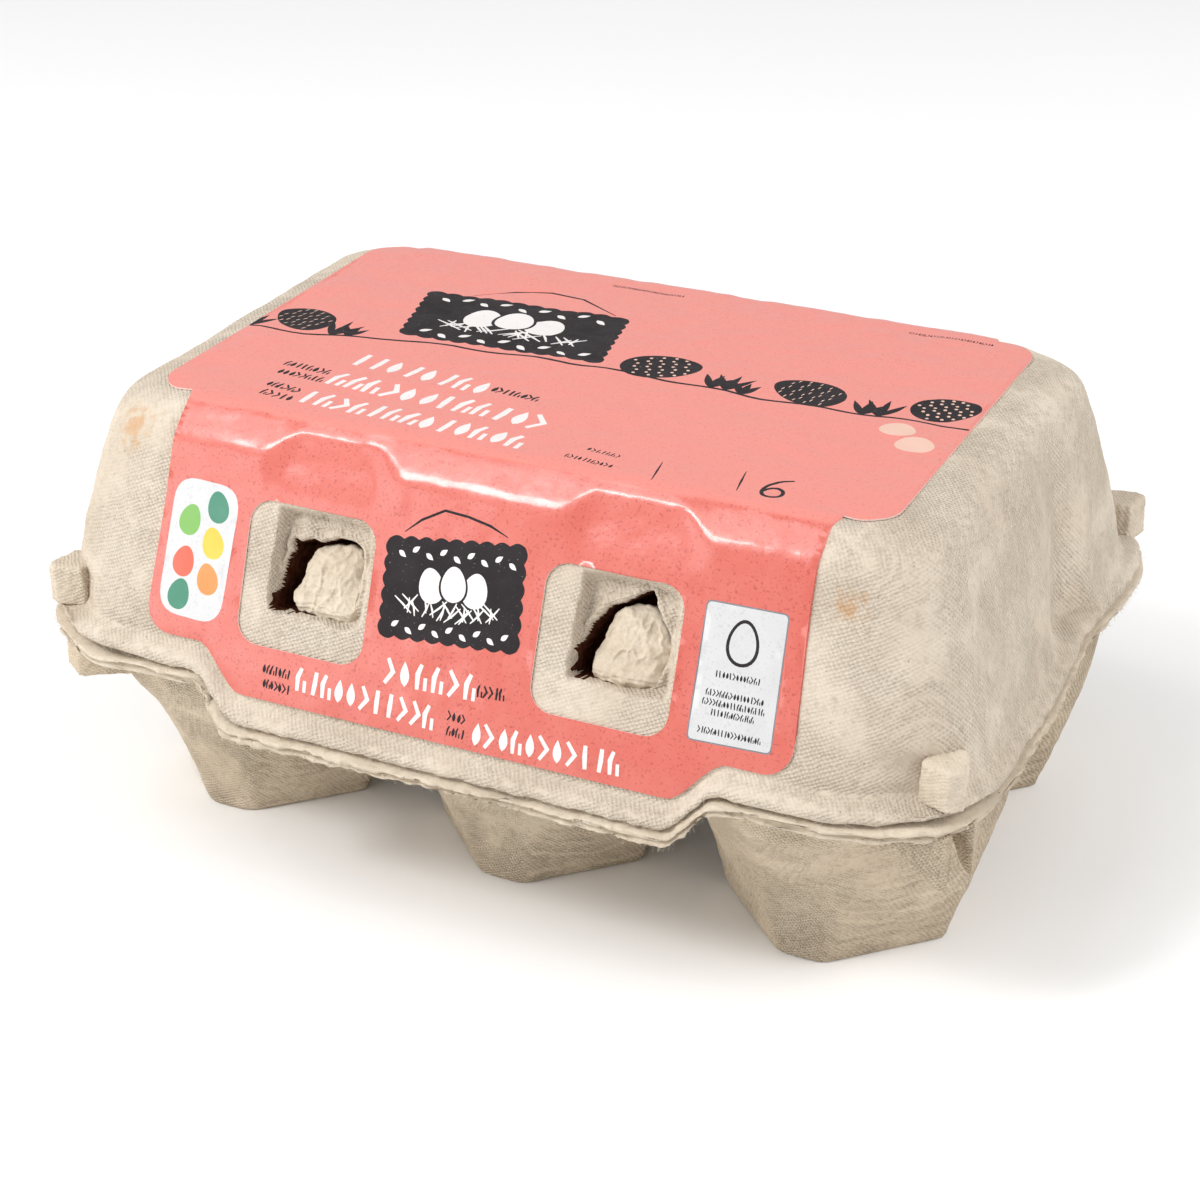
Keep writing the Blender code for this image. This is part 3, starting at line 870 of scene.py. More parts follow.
WARM_SPECK: Colour = (0.42, 0.06, 0.05)
INKS: dict[Ink, PaperFinish] = {
    # The coral's paler top panel is a painted sheen.
    Ink.CORAL: PaperFinish("label_coral", (0.60, 0.120, 0.088), (0.63, 0.150, 0.115), WARM_SPECK,
                           painted_top_sheen=(0.74, 0.230, 0.19)),
    Ink.WHITE: PaperFinish("label_white", (0.76, 0.72, 0.70), (0.80, 0.76, 0.75), (0.70, 0.36, 0.32), speck_share=0.66),
    Ink.CHARCOAL: PaperFinish("label_charcoal", (0.024, 0.020, 0.022), (0.036, 0.031, 0.033), (0.24, 0.20, 0.20),
                              0.6 * MM, 0.68, 0.6, 0.0, 0.12),
    Ink.SHEET: PaperFinish("label_white_field", (0.58, 0.58, 0.58), (0.61, 0.61, 0.61), (0.50, 0.50, 0.52)),
    Ink.GREEN: PaperFinish("label_green", (0.0, 0.18, 0.095), (0.004, 0.20, 0.11), (0.02, 0.13, 0.08),
                           speck_share=0.7),
    Ink.LEAF: PaperFinish("label_leaf_green", (0.14, 0.38, 0.045), (0.16, 0.41, 0.06), (0.12, 0.3, 0.05),
                          speck_share=0.7),
    Ink.YELLOW: PaperFinish("label_yellow", (0.74, 0.47, 0.008), (0.77, 0.50, 0.02), (0.62, 0.37, 0.02),
                            speck_share=0.7),
    Ink.ORANGE: PaperFinish("label_orange", (0.64, 0.215, 0.02), (0.67, 0.235, 0.03), (0.5, 0.15, 0.02),
                            speck_share=0.7),
    Ink.RED: PaperFinish("label_red_orange", (0.60, 0.072, 0.022), (0.63, 0.085, 0.03), (0.45, 0.05, 0.02),
                         speck_share=0.7),
    Ink.BLUSH: PaperFinish("label_blush", (0.74, 0.46, 0.36), (0.77, 0.50, 0.40), (0.66, 0.34, 0.26),
                           speck_share=0.68),
    Ink.GREY: PaperFinish("label_grey", (0.16, 0.17, 0.19), (0.20, 0.21, 0.23), (0.3, 0.3, 0.32)),
}

LID_PULP = PulpFinish("lid_pulp_finish", (0.60, 0.512, 0.410), (0.68, 0.595, 0.49), (0.40, 0.325, 0.245),
                      stains=(((-57.0, -40.5, 65.0), 4.2), ((54.5, -42.5, 61.0), 3.0)))
TRAY_PULP = PulpFinish("tray_pulp_finish", (0.60, 0.495, 0.370), (0.67, 0.565, 0.43), (0.31, 0.225, 0.145),
                       mesh_pitch=0.50 * MM, mesh_depth=0.11 * MM, mesh_painted_shade=0.55)
TORN_PULP = PulpFinish("torn_pulp_finish", (0.62, 0.525, 0.41), (0.70, 0.61, 0.49), (0.42, 0.335, 0.24),
                       mesh_depth=0.0, fibre_depth=0.22 * MM)
LUG_PULP = PulpFinish("lug_pulp_finish", (0.63, 0.54, 0.43), (0.70, 0.61, 0.50), (0.40, 0.32, 0.235),
                      mesh_depth=0.04 * MM, mesh_painted_shade=0.16)
FIBRE_PULP = PulpFinish("fibre_pulp_finish", (0.64, 0.56, 0.44), (0.72, 0.65, 0.53), (0.46, 0.38, 0.28),
                        mesh_depth=0.0, fibre_depth=0.05 * MM, lump_depth=0.05 * MM)


# ---------------------------------------------------------------- latch windows

Outline = tuple[tuple[float, float], ...]


@dataclass(frozen=True)
class LatchWindow:
    """One latch window. Its outlines are in millimetres along and up the front wall, about its middle."""

    centre_x: float
    mouth: Outline
    hole: Outline
    knob: Outline
    seed: float
    centre_z: float = 0.0500
    floor_depth: float = 2.7
    hole_depth: float = 8.0

    def flat(self, points: Points, form: CartonForm) -> Points:
        """Places along and up the front wall, in millimetres from the window's middle.

        Args:
            points: places in the carton's frame.
            form: the carton's surface rules.

        Returns:
            Two columns: along and up.
        """
        behind = (points - (0, -form.wall_y(self.centre_z), self.centre_z)) @ form.inward
        z = points[:, 2] + behind * form.face_slope / form.lean
        return np.column_stack((points[:, 0] - self.centre_x, (z - self.centre_z) * form.lean)) / MM

    def depths(self, flat: Points) -> tuple[np.ndarray, np.ndarray]:
        """How deep the pulp is pressed in, and how far inside the torn hole each place is.

        Args:
            flat: places from flat().

        Returns:
            Depth in millimetres, and distance inside the hole in millimetres.
        """
        where = np.column_stack((flat, np.full(len(flat), self.seed)))
        mouth = depth_inside(flat, smooth_loop(self.mouth, 3)) + 0.10 * grain(where, 1.5, 1, 2)
        side = np.clip((flat[:, 0] - 2) / 5, 0, 1)
        run = 0.75 + 1.3 * side + 0.5 * np.clip((flat[:, 1] - 4) / 4, 0, 1)
        depth = self.floor_depth * ease(mouth / run)
        depth += 0.35 * ease(mouth / 1.5) * grain(where, 3.0, 2, 2)
        depth += 0.10 * ease(mouth / 1.0) * grain(where, 0.9, 3, 2)
        torn = depth_inside(flat, smooth_loop(self.hole, 3)) + 0.13 * grain(where, 1.7, 4, 2)
        depth -= 0.55 * ease(mouth) * np.exp(-(((torn + 0.5) / 0.45) ** 2))
        depth += (self.hole_depth - self.floor_depth) * ease((torn + 0.05) / 0.7)
        return depth, np.minimum(torn, mouth)


WINDOWS = (
    LatchWindow(
        -0.0230,
        ((-7.4, 9.3), (-8.0, 8.2), (-8.0, 5.0), (-8.2, 0.5), (-8.2, -2.8), (-8.1, -4.6), (-7.5, -5.9), (-6.3, -6.5),
         (-4.2, -6.2), (-1.6, -5.9), (0.6, -6.2), (3.0, -6.7), (5.2, -6.8), (7.0, -6.1), (7.8, -4.5), (7.9, 0.0),
         (7.9, 6.8), (7.2, 8.9), (4.5, 9.5), (-2.0, 9.6)),
        ((-5.9, 4.6), (-5.1, 4.3), (-3.4, 4.9), (-2.2, 4.7), (-0.5, 5.2), (1.2, 5.8), (3.2, 5.7), (4.9, 4.8),
         (5.3, 3.4), (5.4, 0.0), (4.4, -5.0), (-1.0, -5.6), (-4.6, -5.9), (-7.0, -6.1), (-7.8, -5.5), (-7.9, -3.9),
         (-7.7, -3.0), (-7.5, -1.7), (-7.1, 0.1), (-6.6, 1.9), (-6.1, 2.7), (-6.3, 3.6)),
        ((-2.7, 3.5), (-1.3, 4.3), (1.4, 4.9), (3.3, 5.0), (4.9, 4.1), (6.0, 1.3), (6.3, -2.1), (6.0, -4.6),
         (4.9, -6.3), (3.2, -7.0), (-0.4, -6.8), (-2.0, -6.6), (-3.6, -6.2), (-4.9, -5.0), (-5.6, -3.3),
         (-5.0, -2.0), (-4.4, -0.5), (-3.9, 1.5)),
        3.0),
    LatchWindow(
        0.0240,
        ((-6.6, 9.3), (-7.2, 8.2), (-7.2, 5.6), (-7.4, 2.0), (-7.4, -1.7), (-7.7, -3.3), (-7.6, -4.6), (-6.9, -5.7),
         (-6.1, -6.1), (-4.1, -6.1), (-2.1, -6.1), (1.0, -6.4), (5.0, -6.6), (7.3, -6.2), (8.0, -5.0), (8.2, 0.0),
         (8.1, 7.0), (7.4, 9.0), (4.5, 9.6), (-2.0, 9.6)),
        ((2.4, 7.7), (3.2, 6.8), (3.4, 5.9), (4.4, 4.2), (6.0, 2.0), (5.8, -2.0), (4.0, -5.0), (-2.0, -5.6),
         (-5.4, -5.8), (-6.9, -6.0), (-7.4, -5.6), (-7.4, -4.9), (-7.3, -3.2), (-7.1, -1.8), (-6.5, -0.3),
         (-5.9, 0.9), (-5.5, 1.9), (-4.4, 3.3), (-3.2, 4.7), (-1.3, 5.5), (0.2, 6.6), (1.4, 7.5)),
        ((-1.1, 5.1), (0.6, 5.4), (1.9, 5.5), (3.3, 5.0), (4.8, 3.5), (6.2, 1.6), (6.9, -0.3), (6.9, -2.3),
         (6.3, -4.2), (4.7, -5.5), (1.2, -6.3), (-2.1, -6.5), (-3.9, -6.3), (-5.0, -4.8), (-5.1, -2.6),
         (-4.2, -0.6), (-3.5, 1.8), (-2.6, 3.8)),
        7.0),
)


# ---------------------------------------------------------------- lid

@dataclass
class LidShell:
    """Lid: a shallow hipped shell with a stepped front rim and two torn latch pockets in its front wall."""

    form: CartonForm
    windows: Sequence[LatchWindow]
    counts: LoopCounts = field(default_factory=LoopCounts)
    raised: float = 0.20 * MM
    wall_rows: int = 36
    refine_cuts: int = 4
    refine_reach: tuple[float, float] = (9.6, 10.9)
    pocket_half: float = 0.0105
    pocket_heights: tuple[float, float] = (0.040, 0.0615)
    # Faces this far inside a torn hole, in millimetres, get the near-black painted shade.
    painted_shade_from: float = 0.16

    def loops(self) -> tuple[list[Points], list[float]]:
        """All loops from the middle of the top to the middle of the underside, and how much each is rounded.

        Returns:
            The loops, and a smoothing weight for each.
        """
        form, counts = self.form, self.counts
        top, crease = form.plateau(counts), form.crease(counts)
        middle = np.array((0, (form.fold_back - form.fold_front) / 2, form.lid_top))
        loops, weights = [], []
        for share in (0.03, 0.12, 0.22, 0.32, 0.42, 0.52, 0.62, 0.70, 0.77, 0.83, 0.88, 0.92, 0.955, 0.98):
            loops.append(middle + (top - middle) * share)
            weights.append(0.0 if share < 0.95 else 0.2)
        for share in np.linspace(0, 1, 9)[:-1]:
            loops.append(top + (crease - top) * share)
            weights.append(0.30)
        loops.append(crease)
        weights.append(0.32)
        for share in np.linspace(0, 1, self.wall_rows + 1)[1:]:
            loops.append(form.wall(float(share), counts))
            weights.append(0.32 if share < 0.08 else (0.22 if share < 0.97 else 0.3))
        for rise, proud in ((0.0036, 0.0), (0.0030, 0.0), (0.0027, 0.0006), (0.0023, 0.0011), (0.0019, 0.0015),
                            (0.0014, 0.0018), (0.0009, 0.0018), (0.0004, 0.0016), (0.0001, 0.0012), (0.0, 0.0004)):
            loops.append(form.lip(rise, proud, counts))
            weights.append(0.2)
        low = loops[-1]
        for scale in (0.985, 0.96, 0.90, 0.76, 0.4, 0.05):
            inner = low * (scale, scale, 1)
            inner[:, 2] = low[:, 2] + (form.rim_z - low[:, 2]) * ease((1 - scale) / LEVEL_SHARE)
            loops.append(inner)
            weights.append(0.0)
        return loops, weights

    def rounded(self, loops: list[Points], weights: list[float], passes: int = 7) -> np.ndarray:
        """Rounds the corners between loops.

        Args:
            loops: the loops, all with the same number of points.
            weights: how much each is rounded.
            passes: how often.

        Returns:
            The loops, stacked.
        """
        stack, weight = np.stack(loops), np.asarray(weights)[1:-1, None, None]
        for _ in range(passes):
            stack[1:-1] += weight * ((stack[:-2] + stack[2:]) / 2 - stack[1:-1])
        return stack

    def refined(self, mesh: bpy.types.Mesh) -> None:
        """Splits the front wall's faces finely around the windows, with no gap to the coarser ones.

        Args:
            mesh: the smooth shell.
        """
        work = bmesh.new()
        work.from_mesh(mesh)
        reach_x, reach_z = self.refine_reach
        for window in self.windows:
            picked = set()
            for edge in work.edges:
                near = all(v.co.y < WALL_FRONT and abs(v.co.x - window.centre_x) < reach_x * MM
                           and abs(v.co.z - window.centre_z) < reach_z * MM for v in edge.verts)
                if near:
                    picked.add(edge)
            bmesh.ops.subdivide_edges(work, edges=list(picked), cuts=self.refine_cuts, use_grid_fill=True)
        work.to_mesh(mesh)
        work.free()
        mesh.update()

    def relief(self, points: Points, normals: Points) -> np.ndarray:
        """How far each place moves along its normal: lumps, dents, creases and the ragged rim, in metres.

        Args:
            points: the smooth shell's places.
            normals: its outward directions.

        Returns:
            One distance per place.
        """
        form = self.form
        x, y, z = points.T
        covered = ease((0.052 - np.abs(x)) / 0.004) * ease((0.066 - z) / 0.004 + 1) * (y < 0.040)
        bare = 1 - 0.75 * covered
        shift = self.raised * (1 - ease((np.abs(x) - 0.056) / 0.006)) * ease((z - 0.033) / 0.003)
        shift += bare * (0.16 * MM * grain(points, 9 * MM, 1, 2) + 0.07 * MM * grain(points, 2.6 * MM, 2, 2))
        low = np.where(y < 0, form.rim_height(x), form.rim_z)
        rim = np.exp(-(((z - low - 0.0009) / 0.0013) ** 2)) * (np.hypot(x / RIM_OVAL[0], y / RIM_OVAL[1]) > 0.80)
        ragged = 0.22 * grain(points, 2.2 * MM, 3, 3) + 0.12 * grain(points, 0.9 * MM, 4, 2) - 0.10
        shift += rim * ragged * MM
        ledge = np.exp(-(((z - low - 0.0034) / 0.0007) ** 2)) * ease((normals[:, 0] ** 2 + normals[:, 1] ** 2) * 2)
        shift -= 0.38 * MM * ledge * (0.75 + 0.25 * grain(points, 8 * MM, 6, 1))
        beside = np.hypot(np.abs(x) - 0.0668, y - np.where(y < 0, -0.0468, 0.0505))
        shift -= 1.9 * MM * np.exp(-((beside / 0.0042) ** 2)) * ease((0.0435 - z) / 0.003) * ease((z - 0.0338) / 0.0018)
        return shift

    def pressed(self, mesh: bpy.types.Mesh) -> None:
        """Presses the latch pockets in and tears their holes, and gives the faces deep inside the holes the
        painted-shade material.

        Args:
            mesh: the shell with its relief.
        """
        points, _ = places(mesh)
        dark = np.zeros(len(points))
        for window in self.windows:
            near = (points[:, 1] < WALL_FRONT) & (np.abs(points[:, 0] - window.centre_x) < self.pocket_half)
            near &= (points[:, 2] > self.pocket_heights[0]) & (points[:, 2] < self.pocket_heights[1])
            picked = np.nonzero(near)[0]
            flat = window.flat(points[picked], self.form)
            depth, torn = window.depths(flat)
            points[picked] += self.form.inward * depth[:, None] * MM
            dark[picked] = np.maximum(dark[picked], torn)
        place(mesh, points)
        # Faces deep inside a torn hole take the second slot: near-black painted shade.
        marks = [int(max(dark[v] for v in face.vertices) > self.painted_shade_from) for face in mesh.polygons]
        mesh.polygons.foreach_set("material_index", marks)

    def build(self) -> bpy.types.Object:
        """Builds the lid and dresses it in pulp."""
        loops, weights = self.loops()
        stack = self.rounded(loops, weights)
        rows, columns, _ = stack.shape
        centre_y = (self.form.fold_back - self.form.fold_front) / 2
        poles = ((0, centre_y, self.form.lid_top), (0, 0, self.form.rim_z))
        points = np.vstack((stack.reshape(-1, 3), poles))
        mesh = mesh_of("lid_shell", points, sewn(columns, rows))
        self.refined(mesh)
        points, normals = places(mesh)
        place(mesh, points + normals * self.relief(points, normals)[:, None])
        self.pressed(mesh)
        mesh.polygons.foreach_set("use_smooth", [True] * len(mesh.polygons))
        mesh.materials.append(LID_PULP.make())
        # Second slot: near-black painted shade for the insides of the torn holes.
        mesh.materials.append(PaintedShadeHoleFinish("latch_hole_painted_shade").make())
        return new_object("lid_shell", mesh)


# ---------------------------------------------------------------- blocks, knobs

@dataclass(frozen=True)
class LugPlan:
    """One kind of corner block: its plan in millimetres at the front right corner, and its heights."""

    plan: Outline
    foot: float
    top: float
    rise: float = 0.0
    taper: float = 1.0
    bevel: float = 0.3
    tip: tuple[float, float] = (70.0, -45.5)


@dataclass
class CornerLugs:
    """Rough blocks that stand out at the carton's corners."""

    name: str
    corners: Sequence[tuple[LugPlan, int, int]]
    finish: PulpFinish
    back_out: float = 4.2
    around: int = 84
    rows: int = 26

    def block(self, number: int, plan: LugPlan, hand_x: int, hand_y: int) -> tuple[Points, Faces]:
        """One block as stacked loops from its top to its foot.

        Args:
            number: fixes its lumps.
            plan: its plan and heights at the front right corner.
            hand_x: 1 at the right end, -1 at the left.
            hand_y: 1 at the front, -1 at the back.

        Returns:
            Places and faces.
        """
        outline = evenly(rounded_corners(plan.plan, plan.bevel), self.around)
        middle = outline.mean(0)
        levels = [(0.04, 0.0), (0.35, 0.0), (0.62, 0.0), (0.82, 0.01), (0.93, 0.03)]
        levels += [(1 - 0.035 * (1 - ease(share / 0.09)), 0.05 + 0.93 * share)
                   for share in np.linspace(0, 1, self.rows)]
        levels += [(scale, 1.0) for scale in (0.93, 0.7, 0.4, 0.04)]
        flat = np.vstack([middle + (outline - middle) * scale for scale, _ in levels])
        share = np.repeat([sunk for _, sunk in levels], self.around)
        tip = np.array(plan.tip)
        flat = tip + (flat - tip) * (1 - (1 - plan.taper) * share[:, None])
        inward = (tip - flat) @ np.array((0.84, -0.54))
        top = plan.top + plan.rise * np.clip(inward, 0, 6)
        z = top + (plan.foot - top) * share
        out = self.back_out if hand_y < 0 else 0.0
        points = np.column_stack((flat - (0, out), z)) * (hand_x, hand_y, 1) * MM
        ends = points[:self.around].mean(0), points[-self.around:].mean(0)
        faces = sewn(self.around, len(levels))
        if hand_x * hand_y < 0:
            faces = [face[::-1] for face in faces]
        mesh = mesh_of("spare", np.vstack((points, ends)), faces)
        where, normals = places(mesh)
        rough = 0.09 * MM * grain(where, 2.2 * MM, number, 3) + 0.06 * MM * grain(where, 0.7 * MM, number + 9, 2)
        ribs = 0.09 * MM * grain(where, 0.8 * MM, number + 5, 1, (1, 1, 8)) * (np.abs(normals[:, 2]) < 0.6)
        bpy.data.meshes.remove(mesh)
        return where + normals * (rough + ribs)[:, None], faces

    def build(self) -> bpy.types.Object:
        """Builds every block into one mesh."""
        mesh = merged(self.name, (self.block(number, *corner) for number, corner in enumerate(self.corners)))
        mesh.materials.append(self.finish.make())
        return new_object(self.name, mesh)


@dataclass
class LatchKnobs:
    """Torn lumps of the tray's latches, showing in the lid's windows."""

    form: CartonForm
    windows: Sequence[LatchWindow]
    rim_depth: float = 3.6
    crown: float = 2.1
    body: float = 4.2
    rings: int = 46
    corner_steps: int = 9

    def lump(self, window: LatchWindow) -> tuple[Points, Faces]:
        """One knob: its outline, crowned towards the front and closed behind.

        Args:
            window: the window it shows in.

        Returns:
            Places in the carton's frame, and faces.
        """
        form = self.form
        outline = smooth_loop(window.knob, self.corner_steps)[::-1]
        middle = outline.mean(0)
        count = len(outline)
        rows, depths = [], []
        for step in range(1, self.rings + 1):
            share = step / self.rings
            rows.append(middle + (outline - middle) * share)
            depths.append(self.rim_depth - self.crown * (1 - share ** 3.2) ** 0.75)
        for step in range(1, 9):
            share = step / 8
            rows.append(middle + (outline - middle) * (1 - 0.18 * share ** 2))
            depths.append(self.rim_depth + self.body * share)
        flat, depth = np.vstack(rows), np.repeat(depths, count)
        where = np.column_stack((flat, depth))
        front = ease((self.rim_depth + 1.0 - depth) / 2.0)
        centre_out = ease(np.hypot(*(flat - middle).T) / 1.5)
        folds = 1 - np.abs(grain(where, 2.6, window.seed, 2, (1, 1.4, 1)))
        depth = depth - front * (0.30 * grain(where, 3.4, window.seed + 1, 2) + 0.42 * (folds ** 3 - 0.45))
        depth = depth + front * 0.10 * grain(where, 0.7, window.seed + 2, 3)
        low = flat[:, 1] + 0.35 * grain(where, 4.0, window.seed + 3, 2)
        for level, drop in ((-4.3, 0.30), (-5.0, 0.34), (-5.7, 0.38)):
            depth = depth + drop * ease((level - low) / 0.14) * front * centre_out
        depth = depth - 1.5 * ease((-2.2 - flat[:, 1]) / 3.4) * front
        edge = 0.16 * grain(where, 1.2, window.seed + 4, 3)[:, None]
        out = (flat - middle) / np.maximum(np.hypot(*(flat - middle).T), 0.2)[:, None]
        flat = flat + out * edge * centre_out[:, None]
        z = window.centre_z + flat[:, 1] * MM / form.lean
        points = np.column_stack((window.centre_x + flat[:, 0] * MM, -form.wall_y(z), z))
        points += form.inward * depth[:, None] * MM
        crown = points[:count].mean(0)
        back = points[-count:].mean(0)
        faces = sewn(count, len(rows))
        return np.vstack((points, crown, back)), faces

    def build(self) -> bpy.types.Object:
        """Builds both knobs into one mesh."""
        mesh = merged("latch_knobs", map(self.lump, self.windows))
        mesh.materials.append(TORN_PULP.make())
        return new_object("latch_knobs", mesh)


# ---------------------------------------------------------------- tray

@dataclass
class TrayShell:
    """Tray: a torn rim plate over six cups, each flaring from a diamond foot to a round-cornered bowl."""

    form: CartonForm
    counts: LoopCounts = field(default_factory=LoopCounts)
    cell_pitch: float = 0.048
    row_y: float = 0.0233
    gap: float = 0.0004
    thickness: float = 0.0026
    top_margin: float = 0.0012
    inset: float = 0.0021
    cup_points: int = 160
    cup_rows: int = 44
    sections: tuple[tuple[float, float, float, float, float], ...] = (
        (0.0000, 0.0175, 0.0174, 1.00, 0.0140),
        (0.0040, 0.0187, 0.0181, 1.06, 0.0146),
        (0.0085, 0.0201, 0.0187, 1.16, 0.0154),
        (0.0140, 0.0217, 0.0198, 1.30, 0.0174),
        (0.0190, 0.0231, 0.0224, 1.40, 0.0212),
        (0.0240, 0.0243, 0.0262, 1.44, 0.0252),
        (0.0285, 0.0252, 0.0296, 1.46, 0.0290),
        (0.0325, 0.0258, 0.0312, 1.50, 0.0306),
    )

    def cup(self, column: int, hand: int) -> tuple[Points, Faces]:
        """One cup as stacked loops, closed at its foot and under the rim.

        Args:
            column: -1, 0 or 1 along the carton.
            hand: -1 for the front row, 1 for the back row.

        Returns:
            Places and faces.
        """
        form = self.form
        table = np.asarray(self.sections)
        edge = form.lip(0.0, 0.0011, self.counts)
        bearing, reach = np.arctan2(edge[:, 1], edge[:, 0]), np.hypot(edge[:, 0], edge[:, 1])
        heights = np.linspace(table[-1, 0], 0.0, self.cup_rows)
        angle = np.arange(640) * 2 * math.pi / 640
        centre_x, centre_y = column * self.cell_pitch, hand * self.row_y
        rows = []
        for z in heights:
            half_x, half_y, power, tip = (np.interp(z, table[:, 0], table[:, i]) for i in range(1, 5))
            x = half_x * powered(np.cos(angle), 2 / power)
            y = half_y * powered(np.sin(angle), 2 / power)
            x, y = evenly(np.column_stack((x, np.clip(y, -tip, tip))), self.cup_points).T
            px, py = centre_x + x, centre_y + y
            limit = np.interp(np.arctan2(py, px), np.sort(bearing), reach[np.argsort(bearing)], period=2 * math.pi)
            shrink = np.minimum(1.0, (limit - self.inset) / np.hypot(px, py))
            px, py = px * shrink, py * shrink
            ceiling = form.rim_z + 0 * px if hand > 0 else form.rim_height(px)
            rows.append(np.column_stack((px, py, np.minimum(z, ceiling - self.top_margin - self.gap))))
        for scale in (0.97, 0.90, 0.75, 0.5, 0.25):
            last = rows[self.cup_rows - 1]
            middle = np.array((centre_x, centre_y, 0.0))
            rows.append(middle + (last - middle) * scale)
        stack = np.stack(rows)
        for _ in range(2):
            stack[1:-1] += 0.3 * ((stack[:-2] + stack[2:]) / 2 - stack[1:-1])
        for _ in range(7):
            stack += 0.5 * ((np.roll(stack, 1, 1) + np.roll(stack, -1, 1)) / 2 - stack)
        stack[..., 2] = np.maximum(stack[..., 2], 0.0)
        poles = ((centre_x, centre_y, form.rim_z - self.thickness / 2), (centre_x, centre_y, 0.0))
        return np.vstack((stack.reshape(-1, 3), poles)), sewn(self.cup_points, len(rows))

    def rim(self) -> tuple[Points, Faces]:
        """Rim plate under the lid's lip, its outer edge in several torn layers.

        Returns:
            Places and faces.
        """
        form, counts = self.form, self.counts
        edge = form.lip(0.0, 0.0014, counts)
        opened = 1.05 * MM * ease(1 - np.abs(edge[:, 0] + 0.0600) / 0.010) + 0.45 * MM * ease(
            1 - np.abs(edge[:, 0] - 0.071) / 0.005)
        edge[:, 2] -= np.where(edge[:, 1] < 0, opened, 0.0)
        rows = [(0.76, 0.0, -self.gap), (0.97, 0.0, -self.gap), (1.0, 0.0, -self.gap)]
        rows += [(1.0, proud, drop) for proud, drop in (
            (0.0002, -0.0005), (0.0006, -0.0006), (0.0006, -0.0009), (0.0001, -0.0011), (-0.0006, -0.0013),
            (-0.0002, -0.0015), (0.0003, -0.0017), (0.0002, -0.0020), (-0.0005, -0.0023), (-0.0014, -0.0025),
            (-0.0022, -0.0026))]
        rows += [(0.95, 0.0, -self.thickness), (0.76, 0.0, -self.thickness)]
        flat_z = form.rim_z
        loops = []
        reach = np.hypot(edge[:, 0], edge[:, 1])[:, None]
        for scale, proud, drop in rows:
            loop = edge.copy()
            loop[:, :2] *= scale * (1 + proud / reach)
            loop[:, 2] = edge[:, 2] + (flat_z - edge[:, 2]) * float(ease((1 - scale) / LEVEL_SHARE)) + drop
            loops.append(loop)
        stack = np.stack(loops)
        poles = ((0, 0, flat_z - self.gap), (0, 0, flat_z - self.thickness))
        return np.vstack((stack.reshape(-1, 3), poles)), sewn(len(edge), len(loops))

    def relief(self, points: Points, normals: Points) -> np.ndarray:
        """How far each place moves along its normal: dents, lumps and torn layers, in metres.

        Args:
            points: the smooth tray's places.
            normals: its outward directions.

        Returns:
            One distance per place.
        """
        x, y, z = points.T
        low = np.where(y < 0, self.form.rim_height(x), self.form.rim_z)
        shift = 0.20 * MM * grain(points, 8 * MM, 11, 2) + 0.08 * MM * grain(points, 2.4 * MM, 12, 2) - 0.06 * MM
        torn = ease((z - low + 0.0030) / 0.0005) * (np.abs(normals[:, 2]) < 0.9)
        layers = grain(points, 0.5 * MM, 13, 2, (6, 6, 1))
        shift += torn * (0.24 * MM * layers + 0.26 * MM * grain(points, 1.8 * MM, 14, 3)
                         + 0.26 * MM * grain(points, 7 * MM, 15, 2) - 0.05 * MM)
        foot = ease((0.0012 - z) / 0.0012)
        return shift * (1 - 0.9 * foot)

    def build(self) -> bpy.types.Object:
        """Builds the tray and dresses it in browner pulp."""
        parts = [self.rim()] + [self.cup(column, hand) for hand in (-1, 1) for column in (-1, 0, 1)]
        mesh = merged("tray_shell", parts)
        where, normals = places(mesh)
        moved = where + normals * self.relief(where, normals)[:, None]
        moved[:, 2] = np.maximum(moved[:, 2], 0.0)
        place(mesh, moved)
        mesh.materials.append(TRAY_PULP.make())
        mesh.materials.append(TORN_PULP.make())
        rim_faces = len(parts[0][1])
        mesh.polygons.foreach_set("material_index", [int(i < rim_faces) for i in range(len(mesh.polygons))])
        return new_object("tray_shell", mesh)


# ---------------------------------------------------------------- label and its print

@dataclass(frozen=True)
class Patch:
    """One field of ink: its outline in millimetres on the label, and its ink."""

    outline: Points
    ink: Ink


